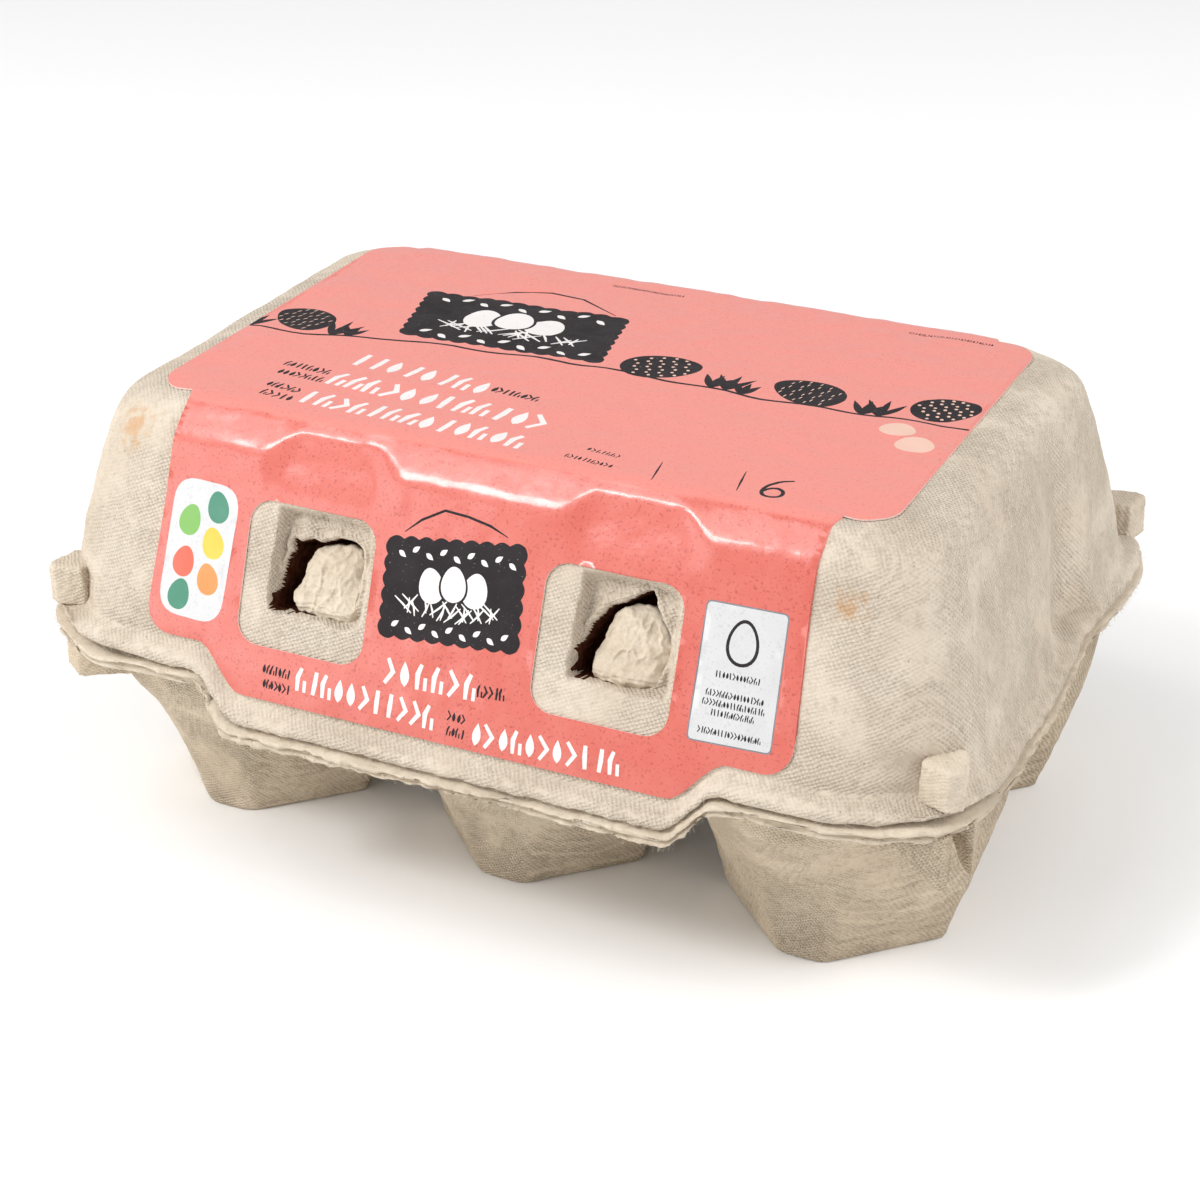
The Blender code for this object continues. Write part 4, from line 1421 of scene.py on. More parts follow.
class Print:
    """Plain generic print: fields of colour, eggs, straw, leaves, bars and one plain number."""

    FOLD = 71.26

    def __init__(self, form: CartonForm) -> None:
        """Starts an empty print for the label of a carton."""
        self.form = form
        self.patches: list[Patch] = []

    def add(self, outline: Sequence[Sequence[float]], ink: Ink) -> None:
        """Adds one field of ink over those before it."""
        self.patches.append(Patch(np.asarray(outline, float), ink))

    def top(self, points: Sequence[Sequence[float]]) -> Points:
        """Label places of points given as x and y on the top panel, in millimetres."""
        p = np.asarray(points, float)
        return np.column_stack((p[:, 0], p[:, 1] + self.FOLD + self.form.fold_front / MM))

    def egg(self, centre: Sequence[float], size: Sequence[float], turn: float, ink: Ink, steps: int = 28) -> None:
        """Egg shape.

        Args:
            centre: its middle on the label.
            size: its width and height.
            turn: degrees that its narrow end is turned from straight up.
            ink: its ink.
            steps: points of its outline.
        """
        a = np.arange(steps) * 2 * math.pi / steps
        x = size[0] / 2 * np.cos(a) * (1 - 0.16 * np.sin(a))
        self.add(swung(x, size[1] / 2 * np.sin(a), turn, centre), ink)

    def stroke(self, line: Sequence[Sequence[float]], width: float, ink: Ink, ends: float = 0.35) -> None:
        """Line of an even width that narrows at its ends.

        Args:
            line: the points it follows.
            width: its full width.
            ink: its ink.
            ends: width at the ends, as a share of the full width.
        """
        p = np.asarray(line, float)
        run = np.gradient(p, axis=0)
        run /= np.maximum(np.hypot(run[:, 0], run[:, 1]), 1e-9)[:, None]
        side = np.column_stack((-run[:, 1], run[:, 0]))
        share = np.linspace(0, 1, len(p))
        half = width / 2 * (ends + (1 - ends) * np.clip(np.minimum(share, 1 - share) * 8, 0, 1))[:, None]
        self.add(np.vstack((p + side * half, (p - side * half)[::-1])), ink)

    def leaf(self, foot: Sequence[float], length: float, width: float, turn: float, ink: Ink) -> None:
        """Pointed leaf.

        Args:
            foot: where it grows from.
            length: its length.
            width: its width.
            turn: degrees from +x that it grows towards.
            ink: its ink.
        """
        t = np.linspace(0, 1, 9)
        half = width / 2 * np.sin(math.pi * t ** 0.8)
        x = np.concatenate((t * length, (t * length)[-2:0:-1]))
        self.add(swung(x, np.concatenate((half, -half[-2:0:-1])), turn, foot), ink)

    def slab(self, corners: Sequence[Sequence[float]], radius: float, ink: Ink) -> None:
        """Four-cornered field with rounded corners, its corners given anticlockwise."""
        self.add(rounded_corners(corners, radius), ink)

    def straw_row(self, start: Sequence[float], end: Sequence[float], height: float, ink: Ink, seed: int,
                  pitch: float = 0.62) -> None:
        """Row of upright brush marks: bars, chevrons, grains and split bars, all generic.

        Args:
            start: middle of the row's first mark.
            end: middle of its last mark.
            height: height of the marks.
            ink: their ink.
            seed: fixes which mark comes where.
            pitch: step from mark to mark, as a share of the height.
        """
        a, b = np.asarray(start, float), np.asarray(end, float)
        run = b - a
        length = float(np.hypot(*run))
        count = max(int(length / (height * pitch)), 1)
        along = run / length
        up = np.array((-along[1], along[0]))
        chance = np.random.default_rng(seed)
        width = height * 0.23
        for number in range(count + 1):
            middle = a + run * number / count
            kind = int(chance.integers(0, 4))
            lean = float(chance.uniform(-0.10, 0.10)) * height
            top, foot = middle + up * height / 2 + along * lean, middle - up * height / 2
            reach = along * height * 0.20
            if kind == 0:
                self.stroke((foot, (foot + top) / 2 + along * lean * 0.3, top), width, ink, 0.8)
            elif kind == 1:
                self.stroke((foot - reach, middle + reach * 0.8, top - reach), width, ink, 0.7)
            elif kind == 2:
                self.leaf(foot, height, height * 0.42, math.degrees(math.atan2(*(top - foot)[::-1])), ink)
            else:
                self.stroke((foot - reach * 0.8, foot + (top - foot) * 0.6 - reach * 0.8, top), width, ink, 0.7)
                self.stroke((foot + reach, foot + (top - foot) * 0.5 + reach), width, ink, 0.7)

    def sign(self, corners: Sequence[Sequence[float]], bumps: int, seed: int) -> None:
        """Charcoal field with a scalloped edge, a nest of three white eggs on straw, and a leaf border.

        Args:
            corners: its four corners, anticlockwise from the lower left.
            bumps: scallops along its long side.
            seed: fixes the straw.
        """
        p = np.asarray(corners, float)
        lower, right, upper = p[1] - p[0], p[2] - p[1], p[3] - p[0]
        outline = []
        for start, run, number in ((p[0], lower, bumps), (p[1], right, max(bumps * 2 // 3, 2)),
                                   (p[2], p[3] - p[2], bumps), (p[3], p[0] - p[3], max(bumps * 2 // 3, 2))):
            out = np.array((run[1], -run[0])) / np.hypot(*run)
            for t in np.linspace(0, 1, number * 6, endpoint=False):
                outline.append(start + run * t + out * 0.45 * abs(math.sin(math.pi * t * number)))
        self.add(outline, Ink.CHARCOAL)

        def at(u: float, v: float) -> np.ndarray:
            """Point a share of the way along the lower and the upper side."""
            return p[0] + lower * u + upper * v

        turn = math.degrees(math.atan2(lower[1], lower[0]))
        wide, high = float(np.hypot(*lower)), float(np.hypot(*upper))
        for u, v, tilt in ((0.34, 0.56, 12), (0.66, 0.56, -12), (0.50, 0.60, 0)):
            self.egg(at(u, v), (wide * 0.21, high * 0.42), turn + tilt, Ink.CHARCOAL)
            self.egg(at(u, v), (wide * 0.18, high * 0.37), turn + tilt, Ink.WHITE)
        chance = np.random.default_rng(seed)
        for number in range(26):
            u = 0.16 + 0.68 * number / 25
            tilt = float(chance.uniform(-28, 28))
            foot = at(u, 0.20 + 0.10 * abs(2 * u - 1) ** 2 + float(chance.uniform(0, 0.06)))
            run = at(u + tilt / 190, 0.36) - at(u, 0.20)
            self.stroke((foot, foot + run * 0.5 + (0.1, 0), foot + run), wide * 0.014, Ink.WHITE, 0.5)
        for number in range(9):
            u = 0.10 + 0.80 * number / 8
            self.leaf(at(u - 0.02, 0.885), wide * 0.065, high * 0.055, turn + (35 if number % 2 else -35), Ink.WHITE)
            self.leaf(at(u - 0.02, 0.10), wide * 0.065, high * 0.055, turn + (-35 if number % 2 else 35), Ink.WHITE)

    def garland_egg(self, centre: Sequence[float], size: Sequence[float], turn: float, dots: bool) -> None:
        """Dark egg on the top panel, with rows of pale marks.

        Args:
            centre: its middle on the top panel.
            size: its width and height.
            turn: degrees that it is turned.
            dots: dots if true, else short strokes.
        """
        at = self.top([centre])[0]
        self.egg(at, size, turn, Ink.CHARCOAL, 36)
        c, s = math.cos(math.radians(turn)), math.sin(math.radians(turn))
        for row in range(-2, 3):
            half = size[0] * 0.40 * math.sqrt(max(1 - (row / 2.9) ** 2, 0))
            number = max(int(half / 0.95), 1)
            for step in range(-number, number + 1):
                x, y = step * half / max(number, 1), row * size[1] * 0.155 + (0.25 if step % 2 else -0.15)
                spot = at + (c * x - s * y, s * x + c * y)
                if dots:
                    self.egg(spot, (0.55, 0.55), 0, Ink.BLUSH, 8)
                else:
                    self.stroke((spot - (0.42 * c, 0.42 * s), spot + (0.0, 0.12), spot + (0.42 * c, 0.42 * s)),
                                0.22, Ink.BLUSH)

    def lay_out(self) -> list[Patch]:
        """Places every field of the print on the label.

        Returns:
            The patches, from the lowest ink to the topmost.
        """
        self.slab(((-48.9, 41.0), (-38.2, 40.6), (-37.1, 59.6), (-48.0, 60.0)), 3.6, Ink.SHEET)
        eggs = ((-40.6, 56.6, Ink.GREEN), (-41.0, 46.6, Ink.ORANGE), (-40.8, 51.6, Ink.YELLOW),
                (-45.0, 54.2, Ink.LEAF), (-45.3, 48.4, Ink.RED), (-45.5, 43.8, Ink.GREEN))
        for x, z, ink in eggs:
            self.egg((x, z), (3.5, 4.4), 14 if x > -43 else -14, ink)
        self.sign(((-12.2, 44.6), (9.0, 46.2), (8.2, 59.8), (-12.6, 57.4)), 9, 5)
        self.stroke(((-10.4, 58.6), (-8.0, 60.6), (-4.6, 62.4), (-1.0, 62.2), (2.6, 61.6), (5.4, 60.6)), 0.35,
                    Ink.CHARCOAL)
        for start, end, height, seed in (((-9.8, 40.0), (2.8, 40.3), 3.4, 1), ((-23.6, 36.0), (-2.9, 35.1), 3.2, 3),
                                         ((4.6, 34.4), (25.6, 34.9), 3.1, 8)):
            self.straw_row(start, end, height, Ink.WHITE, seed)
        for start, end, height, seed in (((4.4, 40.1), (7.8, 40.3), 1.6, 2), ((-29.8, 36.4), (-25.8, 36.3), 1.3, 4),
                                         ((-29.6, 34.4), (-25.6, 34.2), 1.3, 5), ((0.3, 36.0), (2.5, 35.9), 1.3, 6),
                                         ((0.4, 34.0), (2.6, 33.9), 1.3, 7)):
            self.straw_row(start, end, height, Ink.CHARCOAL, seed, 0.5)
        self.slab(((35.3, 40.2), (47.4, 40.6), (47.0, 58.4), (35.3, 58.2)), 0.8, Ink.GREY)
        self.slab(((35.5, 40.4), (47.2, 40.8), (46.8, 58.2), (35.5, 58.0)), 0.7, Ink.SHEET)
        self.egg((41.2, 53.6), (4.6, 6.0), 0, Ink.CHARCOAL)
        self.egg((41.2, 53.6), (3.7, 5.1), 0, Ink.SHEET)
        for row, half in enumerate((3.0, 0.0, 3.9, 4.2, 2.9, 0.0, 4.3)):
            if half:
                level = 49.2 - row * 1.22
                self.straw_row((41.2 - half, level), (41.2 + half, level + 0.1), 0.85, Ink.CHARCOAL, 30 + row, 0.55)
        self.garland()
        return self.patches

    def garland(self) -> None:
        """The top panel: a sign, rows of marks, and a dark line with eggs, leaves and grass along it."""
        sign = self.top(((-34.0, -2.4), (-1.0, -0.6), (-4.6, 17.6), (-38.4, 15.8)))
        self.sign(sign, 12, 9)
        self.stroke(self.top(((-31.5, 17.0), (-26.0, 21.4), (-20.6, 23.4), (-14.6, 22.6), (-7.0, 18.2))), 0.5,
                    Ink.CHARCOAL)
        line = np.array(((-56.8, -9.6), (-50.0, -9.2), (-43.2, -7.9), (-34.0, -5.4), (-24.6, -3.9), (-12.0, -2.9),
                         (-0.5, -2.2), (12.0, -2.6), (25.4, -2.9), (34.0, -2.6), (43.7, -2.0), (50.0, -1.6),
                         (56.8, -1.2)))
        xs = np.linspace(line[0, 0], line[-1, 0], 60)
        ys = np.interp(xs, line[:, 0], line[:, 1]) + 0.35 * np.sin(xs * 0.42)
        self.stroke(self.top(np.column_stack((xs, ys))), 0.55, Ink.CHARCOAL, 0.9)
        for x, y, wide, high, turn, dots in ((-50.5, -3.2, 8.4, 11.0, 62, False), (8.0, 1.9, 8.8, 12.4, -70, True),
                                             (31.5, 2.0, 8.6, 11.6, 74, False), (51.6, 4.2, 7.8, 10.4, -58, True)):
            self.garland_egg((x, y), (wide, high), turn, dots)
        for x, seed in ((-57.0, 1), (-43.4, 2), (-41.0, 3), (17.6, 4), (20.0, 5), (22.6, 6), (41.0, 7), (43.4, 8)):
            base = float(np.interp(x, xs, ys))
            for tilt in (-34, -8, 22):
                foot = self.top([(x, base)])[0]
                self.leaf(foot, 4.2 + (seed % 3), 1.2, 90 + tilt + seed, Ink.CHARCOAL)
        for start, end, height, seed in (((-33.6, -14.6), (-12.4, -16.6), 4.4, 11),
                                         ((-33.0, -22.6), (0.8, -24.4), 4.6, 13),
                                         ((-33.4, -30.4), (1.0, -31.8), 4.4, 14)):
            self.straw_row(self.top([start])[0], self.top([end])[0], height, Ink.WHITE, seed)
        for start, end, height, seed, pitch in (
                ((-10.4, -16.4), (-3.4, -17.0), 1.9, 12, 0.5), ((-43.0, -20.4), (-36.0, -20.9), 1.8, 15, 0.5),
                ((-42.4, -23.4), (-35.4, -23.9), 1.8, 16, 0.5), ((-41.0, -28.6), (-36.2, -29.0), 1.8, 17, 0.5),
                ((-40.2, -31.6), (-35.8, -31.9), 1.8, 18, 0.5), ((11.4, -30.2), (16.0, -30.6), 1.1, 19, 0.6),
                ((-13.0, 30.6), (-1.0, 30.9), 0.8, 21, 0.6), ((37.0, 31.2), (50.0, 31.4), 0.8, 22, 0.6),
                ((9.6, -33.4), (16.4, -34.0), 1.1, 20, 0.6)):
            self.straw_row(self.top([start])[0], self.top([end])[0], height, Ink.CHARCOAL, seed, pitch)
        for x, y in ((22.8, -32.8), (34.3, -30.8)):
            self.stroke(self.top(((x - 0.5, y + 3.0), (x, y), (x + 0.5, y - 3.0))), 0.32, Ink.CHARCOAL)
        six = ((1.5, 3.2), (0.2, 2.4), (-1.1, 0.8), (-1.5, -1.0), (-0.9, -2.5), (0.4, -2.8), (1.4, -1.9),
               (1.3, -0.6), (0.3, 0.1), (-0.8, -0.4), (-1.3, -1.4))
        self.stroke(self.top([(39.4 + x, -31.2 + y) for x, y in smooth_line(six)]), 0.55, Ink.CHARCOAL, 0.7)
        self.egg(self.top([(46.1, 3.5)])[0] + (1.6, -9.0), (5.2, 4.6), 0, Ink.BLUSH)
        self.egg(self.top([(51.6, -9.6)])[0], (5.6, 5.0), 0, Ink.BLUSH)


@dataclass
class PaperLabel:
    """Printed paper label: one sheet glued over the front wall, the top and the back wall."""

    form: CartonForm
    lid: bpy.types.Object
    patches: Sequence[Patch]
    half_top: float = 57.0
    half_flap: float = 50.4
    top_front: float = 35.0
    top_back: float = 33.2
    corner: float = 5.0
    flap_corner: float = 4.0
    back_low: float = 42.0
    window_shift: float = -1.4
    window_half: float = 10.3
    window_low: float = 39.3
    window_high: float = 59.0
    window_corner: float = 3.5
    step: float = 1.0
    fold_step: float = 0.42
    thickness: float = 0.24
    lift: float = 0.05
    probe: float = 4.0

    @property
    def fold(self) -> float:
        """Label place of the front fold."""
        return Print.FOLD

    @property
    def back_fold(self) -> float:
        """Label place of the back fold."""
        return self.fold + (self.form.fold_front + self.form.fold_back) / MM

    @property
    def back_ridge(self) -> float:
        """Label place of the back ridge."""
        return self.back_fold + math.hypot(self.form.ridge_out, self.form.ridge_drop) / MM

    def surface(self, flat: Points) -> Points:
        """Carton places of label places, on the unrounded surface.

        Args:
            flat: across and along the label, in millimetres.

        Returns:
            Places in metres.
        """
        form = self.form
        x, w = flat[:, 0] * MM, flat[:, 1]
        ridge_y, ridge_z = form.front_ridge(x)
        ridge_w = ridge_z / MM
        share = np.clip((w - ridge_w) / (self.fold - ridge_w), 0, 1)
        z = np.minimum(w * MM, ridge_z)
        y = form.front_wall(x, z)
        y = np.where(w > ridge_w, ridge_y + share * (-form.fold_front - ridge_y), y)
        z = np.where(w > ridge_w, ridge_z + share * (form.lid_top - ridge_z), z)
        flat_top = w > self.fold
        y = np.where(flat_top, -form.fold_front + (w - self.fold) * MM, y)
        z = np.where(flat_top, form.lid_top, z)
        behind = w > self.back_fold
        share = np.clip((w - self.back_fold) / (self.back_ridge - self.back_fold), 0, 1)
        y = np.where(behind, form.fold_back + share * form.ridge_out, y)
        z = np.where(behind, form.lid_top - share * form.ridge_drop, z)
        low = np.maximum(w - self.back_ridge, 0) * MM
        y = np.where(low > 0, form.back_face_y + form.face_slope * low, y)
        z = np.where(low > 0, form.ridge_z - low, z)
        return np.column_stack((x, y, z))

    def outline(self) -> Points:
        """The label's own outline.

        Returns:
            Label places, anticlockwise.
        """
        form = self.form

        def rounded_in(x: np.ndarray) -> np.ndarray:
            """How far the rounded corner stands in from the flap's edge at each x."""
            past = np.clip(np.abs(x) - (self.half_flap - self.flap_corner), 0, self.flap_corner)
            return self.flap_corner - np.sqrt(self.flap_corner ** 2 - past ** 2)

        side = self.half_flap - self.flap_corner * (1 - np.sin(np.linspace(0, math.pi / 2, 8)))
        xs = np.concatenate((-side[::-1], np.linspace(-side[0], side[0], 70)[1:-1], side))
        bottom = np.column_stack((xs, (form.rim_height(xs * MM) + form.flap_rise) / MM + rounded_in(xs)))
        angles = np.linspace(0, math.pi / 2, 9)
        offset = self.fold + form.fold_front / MM
        front_turn = [(self.half_top - self.corner + self.corner * math.sin(a),
                       offset - self.top_front + self.corner * (1 - math.cos(a))) for a in angles]
        back_turn = [(self.half_top - self.corner + self.corner * math.cos(a),
                      offset + self.top_back - self.corner * (1 - math.sin(a))) for a in angles]
        xs = side[::-1]
        low = self.back_ridge + form.ridge_z / MM - self.back_low
        back = np.column_stack((xs, low - rounded_in(xs)))
        start = [(self.half_flap, offset - self.top_front)]
        end = [(self.half_flap, offset + self.top_back)]
        right = np.vstack((start, front_turn, back_turn, end, back))
        return np.vstack((bottom, right, (right * (-1, 1))[::-1]))

    def window(self, hand: int) -> Points:
        """Outline of one window.

        Args:
            hand: 1 for the right window, -1 for the left.

        Returns:
            Label places, anticlockwise.
        """
        x = hand * self.form.window_x / MM + self.window_shift
        radius, tall = self.window_corner, self.window_corner / self.form.lean
        points = []
        for quarter, (sx, sz) in enumerate(((1, -1), (1, 1), (-1, 1), (-1, -1))):
            centre = (x + sx * (self.window_half - radius),
                      (self.window_high + self.window_low) / 2 + sz * ((self.window_high - self.window_low) / 2 - tall))
            for t in np.linspace(0, 1, 8):
                angle = (quarter - 1 + t) * math.pi / 2
                points.append((centre[0] + radius * math.cos(angle), centre[1] + tall * math.sin(angle)))
        return np.array(points)

    def lattice(self) -> Points:
        """Points that keep the sheet's triangles small, closer together along the folds."""
        xs = np.arange(-57.5, 57.6, self.step)
        bounds, steps = (30.0, 63.0, 74.0, 141.0, 152.0, 173.0), (self.step, self.fold_step)
        ws = [np.arange(bounds[i], bounds[i + 1], steps[i % 2]) for i in range(5)]
        grid = np.stack(np.meshgrid(xs, np.concatenate(ws)), -1).reshape(-1, 2)
        return grid + np.random.default_rng(4).uniform(-0.04, 0.04, grid.shape)

    def sheet(self) -> tuple[Points, Faces, list[int]]:
        """The flat sheet, cut into triangles along every edge of the print.

        Returns:
            Label places, triangles, and the ink of each triangle.
        """
        outline = self.outline()
        rings = [outline, self.window(1), self.window(-1), *(p.outline for p in self.patches)]
        grid = self.lattice()
        grid = grid[depth_inside(grid, outline) > 0.2]
        points, edges = [], []
        for ring in rings:
            first = len(points)
            edges += [(first + i, first + (i + 1) % len(ring)) for i in range(len(ring))]
            points += [Vector(p) for p in ring]
        points += [Vector(p) for p in grid]
        found = delaunay_2d_cdt(points, edges, [], 0, 1e-4, False)
        flat = np.array([tuple(v) for v in found[0]])
        corners = np.array(found[2])
        a, b, c = (flat[corners[:, i]] for i in range(3))
        turn = (b - a)[:, 0] * (c - a)[:, 1] - (b - a)[:, 1] * (c - a)[:, 0]
        middles = (a + b + c) / 3
        kept = (np.abs(turn) > 1e-7) & wound(middles, outline)
        for hand in (1, -1):
            kept &= ~wound(middles, self.window(hand))
        inks = np.full(len(corners), Ink.CORAL.value)
        for patch in self.patches:
            inks[wound(middles, patch.outline)] = patch.ink.value
        corners[turn < 0] = corners[turn < 0][:, ::-1]
        faces, inks = [tuple(int(i) for i in f) for f in corners[kept]], [int(i) for i in inks[kept]]
        return flat, faces, inks

    def wrapped(self, flat: Points) -> Points:
        """Carton places of label places, laid onto the lid itself.

        Args:
            flat: across and along the label, in millimetres.

        Returns:
            Places on the sheet's outer face, in metres.
        """
        reach = np.array((0, 1.2))
        before, after = self.surface(flat - reach), self.surface(flat + reach)
        along = after - before
        normals = np.column_stack((np.zeros(len(flat)), -along[:, 2], along[:, 1]))
        normals /= np.linalg.norm(normals, axis=1)[:, None]
        base = (self.surface(flat - reach * 0.5) + self.surface(flat) * 2 + self.surface(flat + reach * 0.5)) / 4
        tree = BVHTree.FromPolygons([v.co for v in self.lid.data.vertices],
                                    [tuple(p.vertices) for p in self.lid.data.polygons])
        laid = []
        for spot, normal in zip(base, normals):
            up = Vector(normal)
            hit = tree.ray_cast(Vector(spot) + up * self.probe * MM, -up, 2 * self.probe * MM)[0]
            laid.append(hit if hit is not None else Vector(spot) + up * 0.2 * MM)
        laid = np.array([tuple(p) for p in laid])
        wrinkle = 0.035 * (1 + grain(laid, 5 * MM, 21, 2)) + 0.012 * (1 + grain(laid, 1.6 * MM, 22, 2))
        return laid + normals * ((self.lift + self.thickness + np.clip(wrinkle, 0, 0.12)) * MM)[:, None]

    def build(self) -> bpy.types.Object:
        """Cuts, prints and wraps the label."""
        flat, faces, inks = self.sheet()
        flat, faces = used_only(flat, faces)
        mesh = mesh_of("label_sheet", self.wrapped(flat), faces)
        for ink in Ink:
            mesh.materials.append(INKS[ink].make())
        mesh.materials.append(PaperFinish("label_cut_edge", (0.83, 0.60, 0.55), (0.88, 0.70, 0.66),
                                          (0.70, 0.45, 0.4), gloss=0.7, coat=0.0).make())
        mesh.polygons.foreach_set("material_index", inks)
        label = new_object("label_sheet", mesh)
        paper = label.modifiers.new("paper", "SOLIDIFY")
        paper.thickness = self.thickness * MM
        paper.offset = -1
        paper.use_rim = True
        paper.material_offset_rim = len(Ink)
        flattened(label)
        label.data.set_sharp_from_angle(angle=math.radians(50))
        return label


# ---------------------------------------------------------------- fibres

class Scrap(Enum):
    """What is strewn over a surface: loose hairs of fibre, or torn crumbs of pulp."""

    HAIR = "hair"
    CRUMB = "crumb"


@dataclass
class PulpFuzz:
    """Hairs or crumbs strewn over a strip of surface with Geometry Nodes."""

    name: str
    scrap: Scrap
    density: float
    size: float
    thickness: float
    tilt: float
    seed: int

    @property
    def settings(self) -> dict[str, float]:
        """Values of the node tree's inputs, by their names."""
        return {"Density": self.density, "Size": self.size, "Thickness": self.thickness, "Tilt": self.tilt,
                "Seed": self.seed}

    def shape(self, add: Callable[..., bpy.types.NodeOutputs], thickness: Socket) -> Socket:
        """Nodes of one scrap: a bowed hair with a triangle for its section, or a lumpy ball.

        Args:
            add: adds a node and gives its outputs.
            thickness: a hair's radius, as a share of its length.

        Returns:
            The socket with its mesh.
        """
        if self.scrap is Scrap.HAIR:
            bow = add("GeometryNodeCurveQuadraticBezier",
                      {"Resolution": 4, "Start": (0, 0, 0), "Middle": (0.18, 0.05, 0.5), "End": (0.0, 0.28, 0.9)})
            ring = add("GeometryNodeCurvePrimitiveCircle", {"Resolution": 3, "Radius": thickness})
            return add("GeometryNodeCurveToMesh",
                       {"Curve": bow[0], "Profile Curve": ring["Curve"], "Fill Caps": True})[0]
        ball = add("GeometryNodeMeshIcoSphere", {"Radius": 0.5, "Subdivisions": 2})
        rough = add("ShaderNodeTexNoise", {"Scale": 2.3})
        offset = add("ShaderNodeVectorMath", {0: rough["Color"], 1: (0.5, 0.5, 0.5)}, operation="SUBTRACT")
        return add("GeometryNodeSetPosition", {"Geometry": ball["Mesh"], "Offset": offset[0]})[0]

    def tree(self, finish: bpy.types.Material) -> bpy.types.NodeTree:
        """Node tree that strews the scraps.

        Args:
            finish: their material.

        Returns:
            The tree, with its inputs named for what they set.
        """
        group = bpy.data.node_groups.new(self.name, "GeometryNodeTree")
        face = group.interface
        face.new_socket("Geometry", in_out="INPUT", socket_type="NodeSocketGeometry")
        for label, value in self.settings.items():
            kind = "NodeSocketInt" if label == "Seed" else "NodeSocketFloat"
            face.new_socket(label, in_out="INPUT", socket_type=kind).default_value = value
        face.new_socket("Geometry", in_out="OUTPUT", socket_type="NodeSocketGeometry")
        given = group.nodes.new("NodeGroupInput").outputs

        def add(kind: str, inputs: dict[str | int, object], **settings: object) -> bpy.types.NodeOutputs:
            """Outputs of a new node in the group."""
            return add_node(group, kind, inputs, **settings).outputs

        seed, tilt = given["Seed"], given["Tilt"]
        strewn = add("GeometryNodeDistributePointsOnFaces",
                     {"Mesh": given["Geometry"], "Density": given["Density"], "Seed": seed})
        away = add("ShaderNodeMath", {0: tilt, 1: -1.0}, operation="MULTIPLY")[0]
        least = add("ShaderNodeCombineXYZ", {0: away, 1: away, 2: -math.pi})[0]
        most = add("ShaderNodeCombineXYZ", {0: tilt, 1: tilt, 2: math.pi})[0]
        turn = add("FunctionNodeRandomValue", {0: least, 1: most, "Seed": seed}, data_type="FLOAT_VECTOR")[0]
        spread = add("FunctionNodeRandomValue", {2: 0.35, 3: 1.0, "Seed": seed})[1]
        scale = add("ShaderNodeMath", {0: spread, 1: given["Size"]}, operation="MULTIPLY")[0]
        put = add("GeometryNodeInstanceOnPoints", {"Points": strewn["Points"], "Rotation": strewn["Rotation"],
                                                   "Instance": self.shape(add, given["Thickness"]), "Scale": scale})[0]
        turned = add("GeometryNodeRotateInstances", {"Instances": put, "Rotation": turn})[0]
        real = add("GeometryNodeRealizeInstances", {0: turned})[0]
        dressed = add("GeometryNodeSetMaterial", {"Geometry": real, "Material": finish})[0]
        group.links.new(dressed, group.nodes.new("NodeGroupOutput").inputs["Geometry"])
        return group

    def strewn_on(self, source: bpy.types.Object, keep: Callable[[Points, Points], np.ndarray],
                  finish: bpy.types.Material) -> bpy.types.Object:
        """Strews the scraps over the faces of a source that a rule keeps.

        Args:
            source: the surface.
            keep: rule of face centres and face normals that picks faces.
            finish: the scraps' material.

        Returns:
            One object with the scraps alone.
        """
        mesh = source.data
        count = len(mesh.polygons)
        centres, normals = np.empty(count * 3), np.empty(count * 3)
        mesh.polygons.foreach_get("center", centres)
        mesh.polygons.foreach_get("normal", normals)
        picked = keep(centres.reshape(-1, 3), normals.reshape(-1, 3))
        faces = [tuple(mesh.polygons[int(i)].vertices) for i in np.nonzero(picked)[0]]
        made = new_object(self.name, mesh_of(self.name, *used_only(places(mesh)[0], faces)))
        nodes = made.modifiers.new("strewn", "NODES")
        nodes.node_group = self.tree(finish)
        for item in nodes.node_group.interface.items_tree:
            if item.in_out == "INPUT" and item.name in self.settings:
                nodes[item.identifier] = self.settings[item.name]
        flattened(made)
        if not made.data.materials:
            made.data.materials.append(finish)
        return made


# ---------------------------------------------------------------- studio

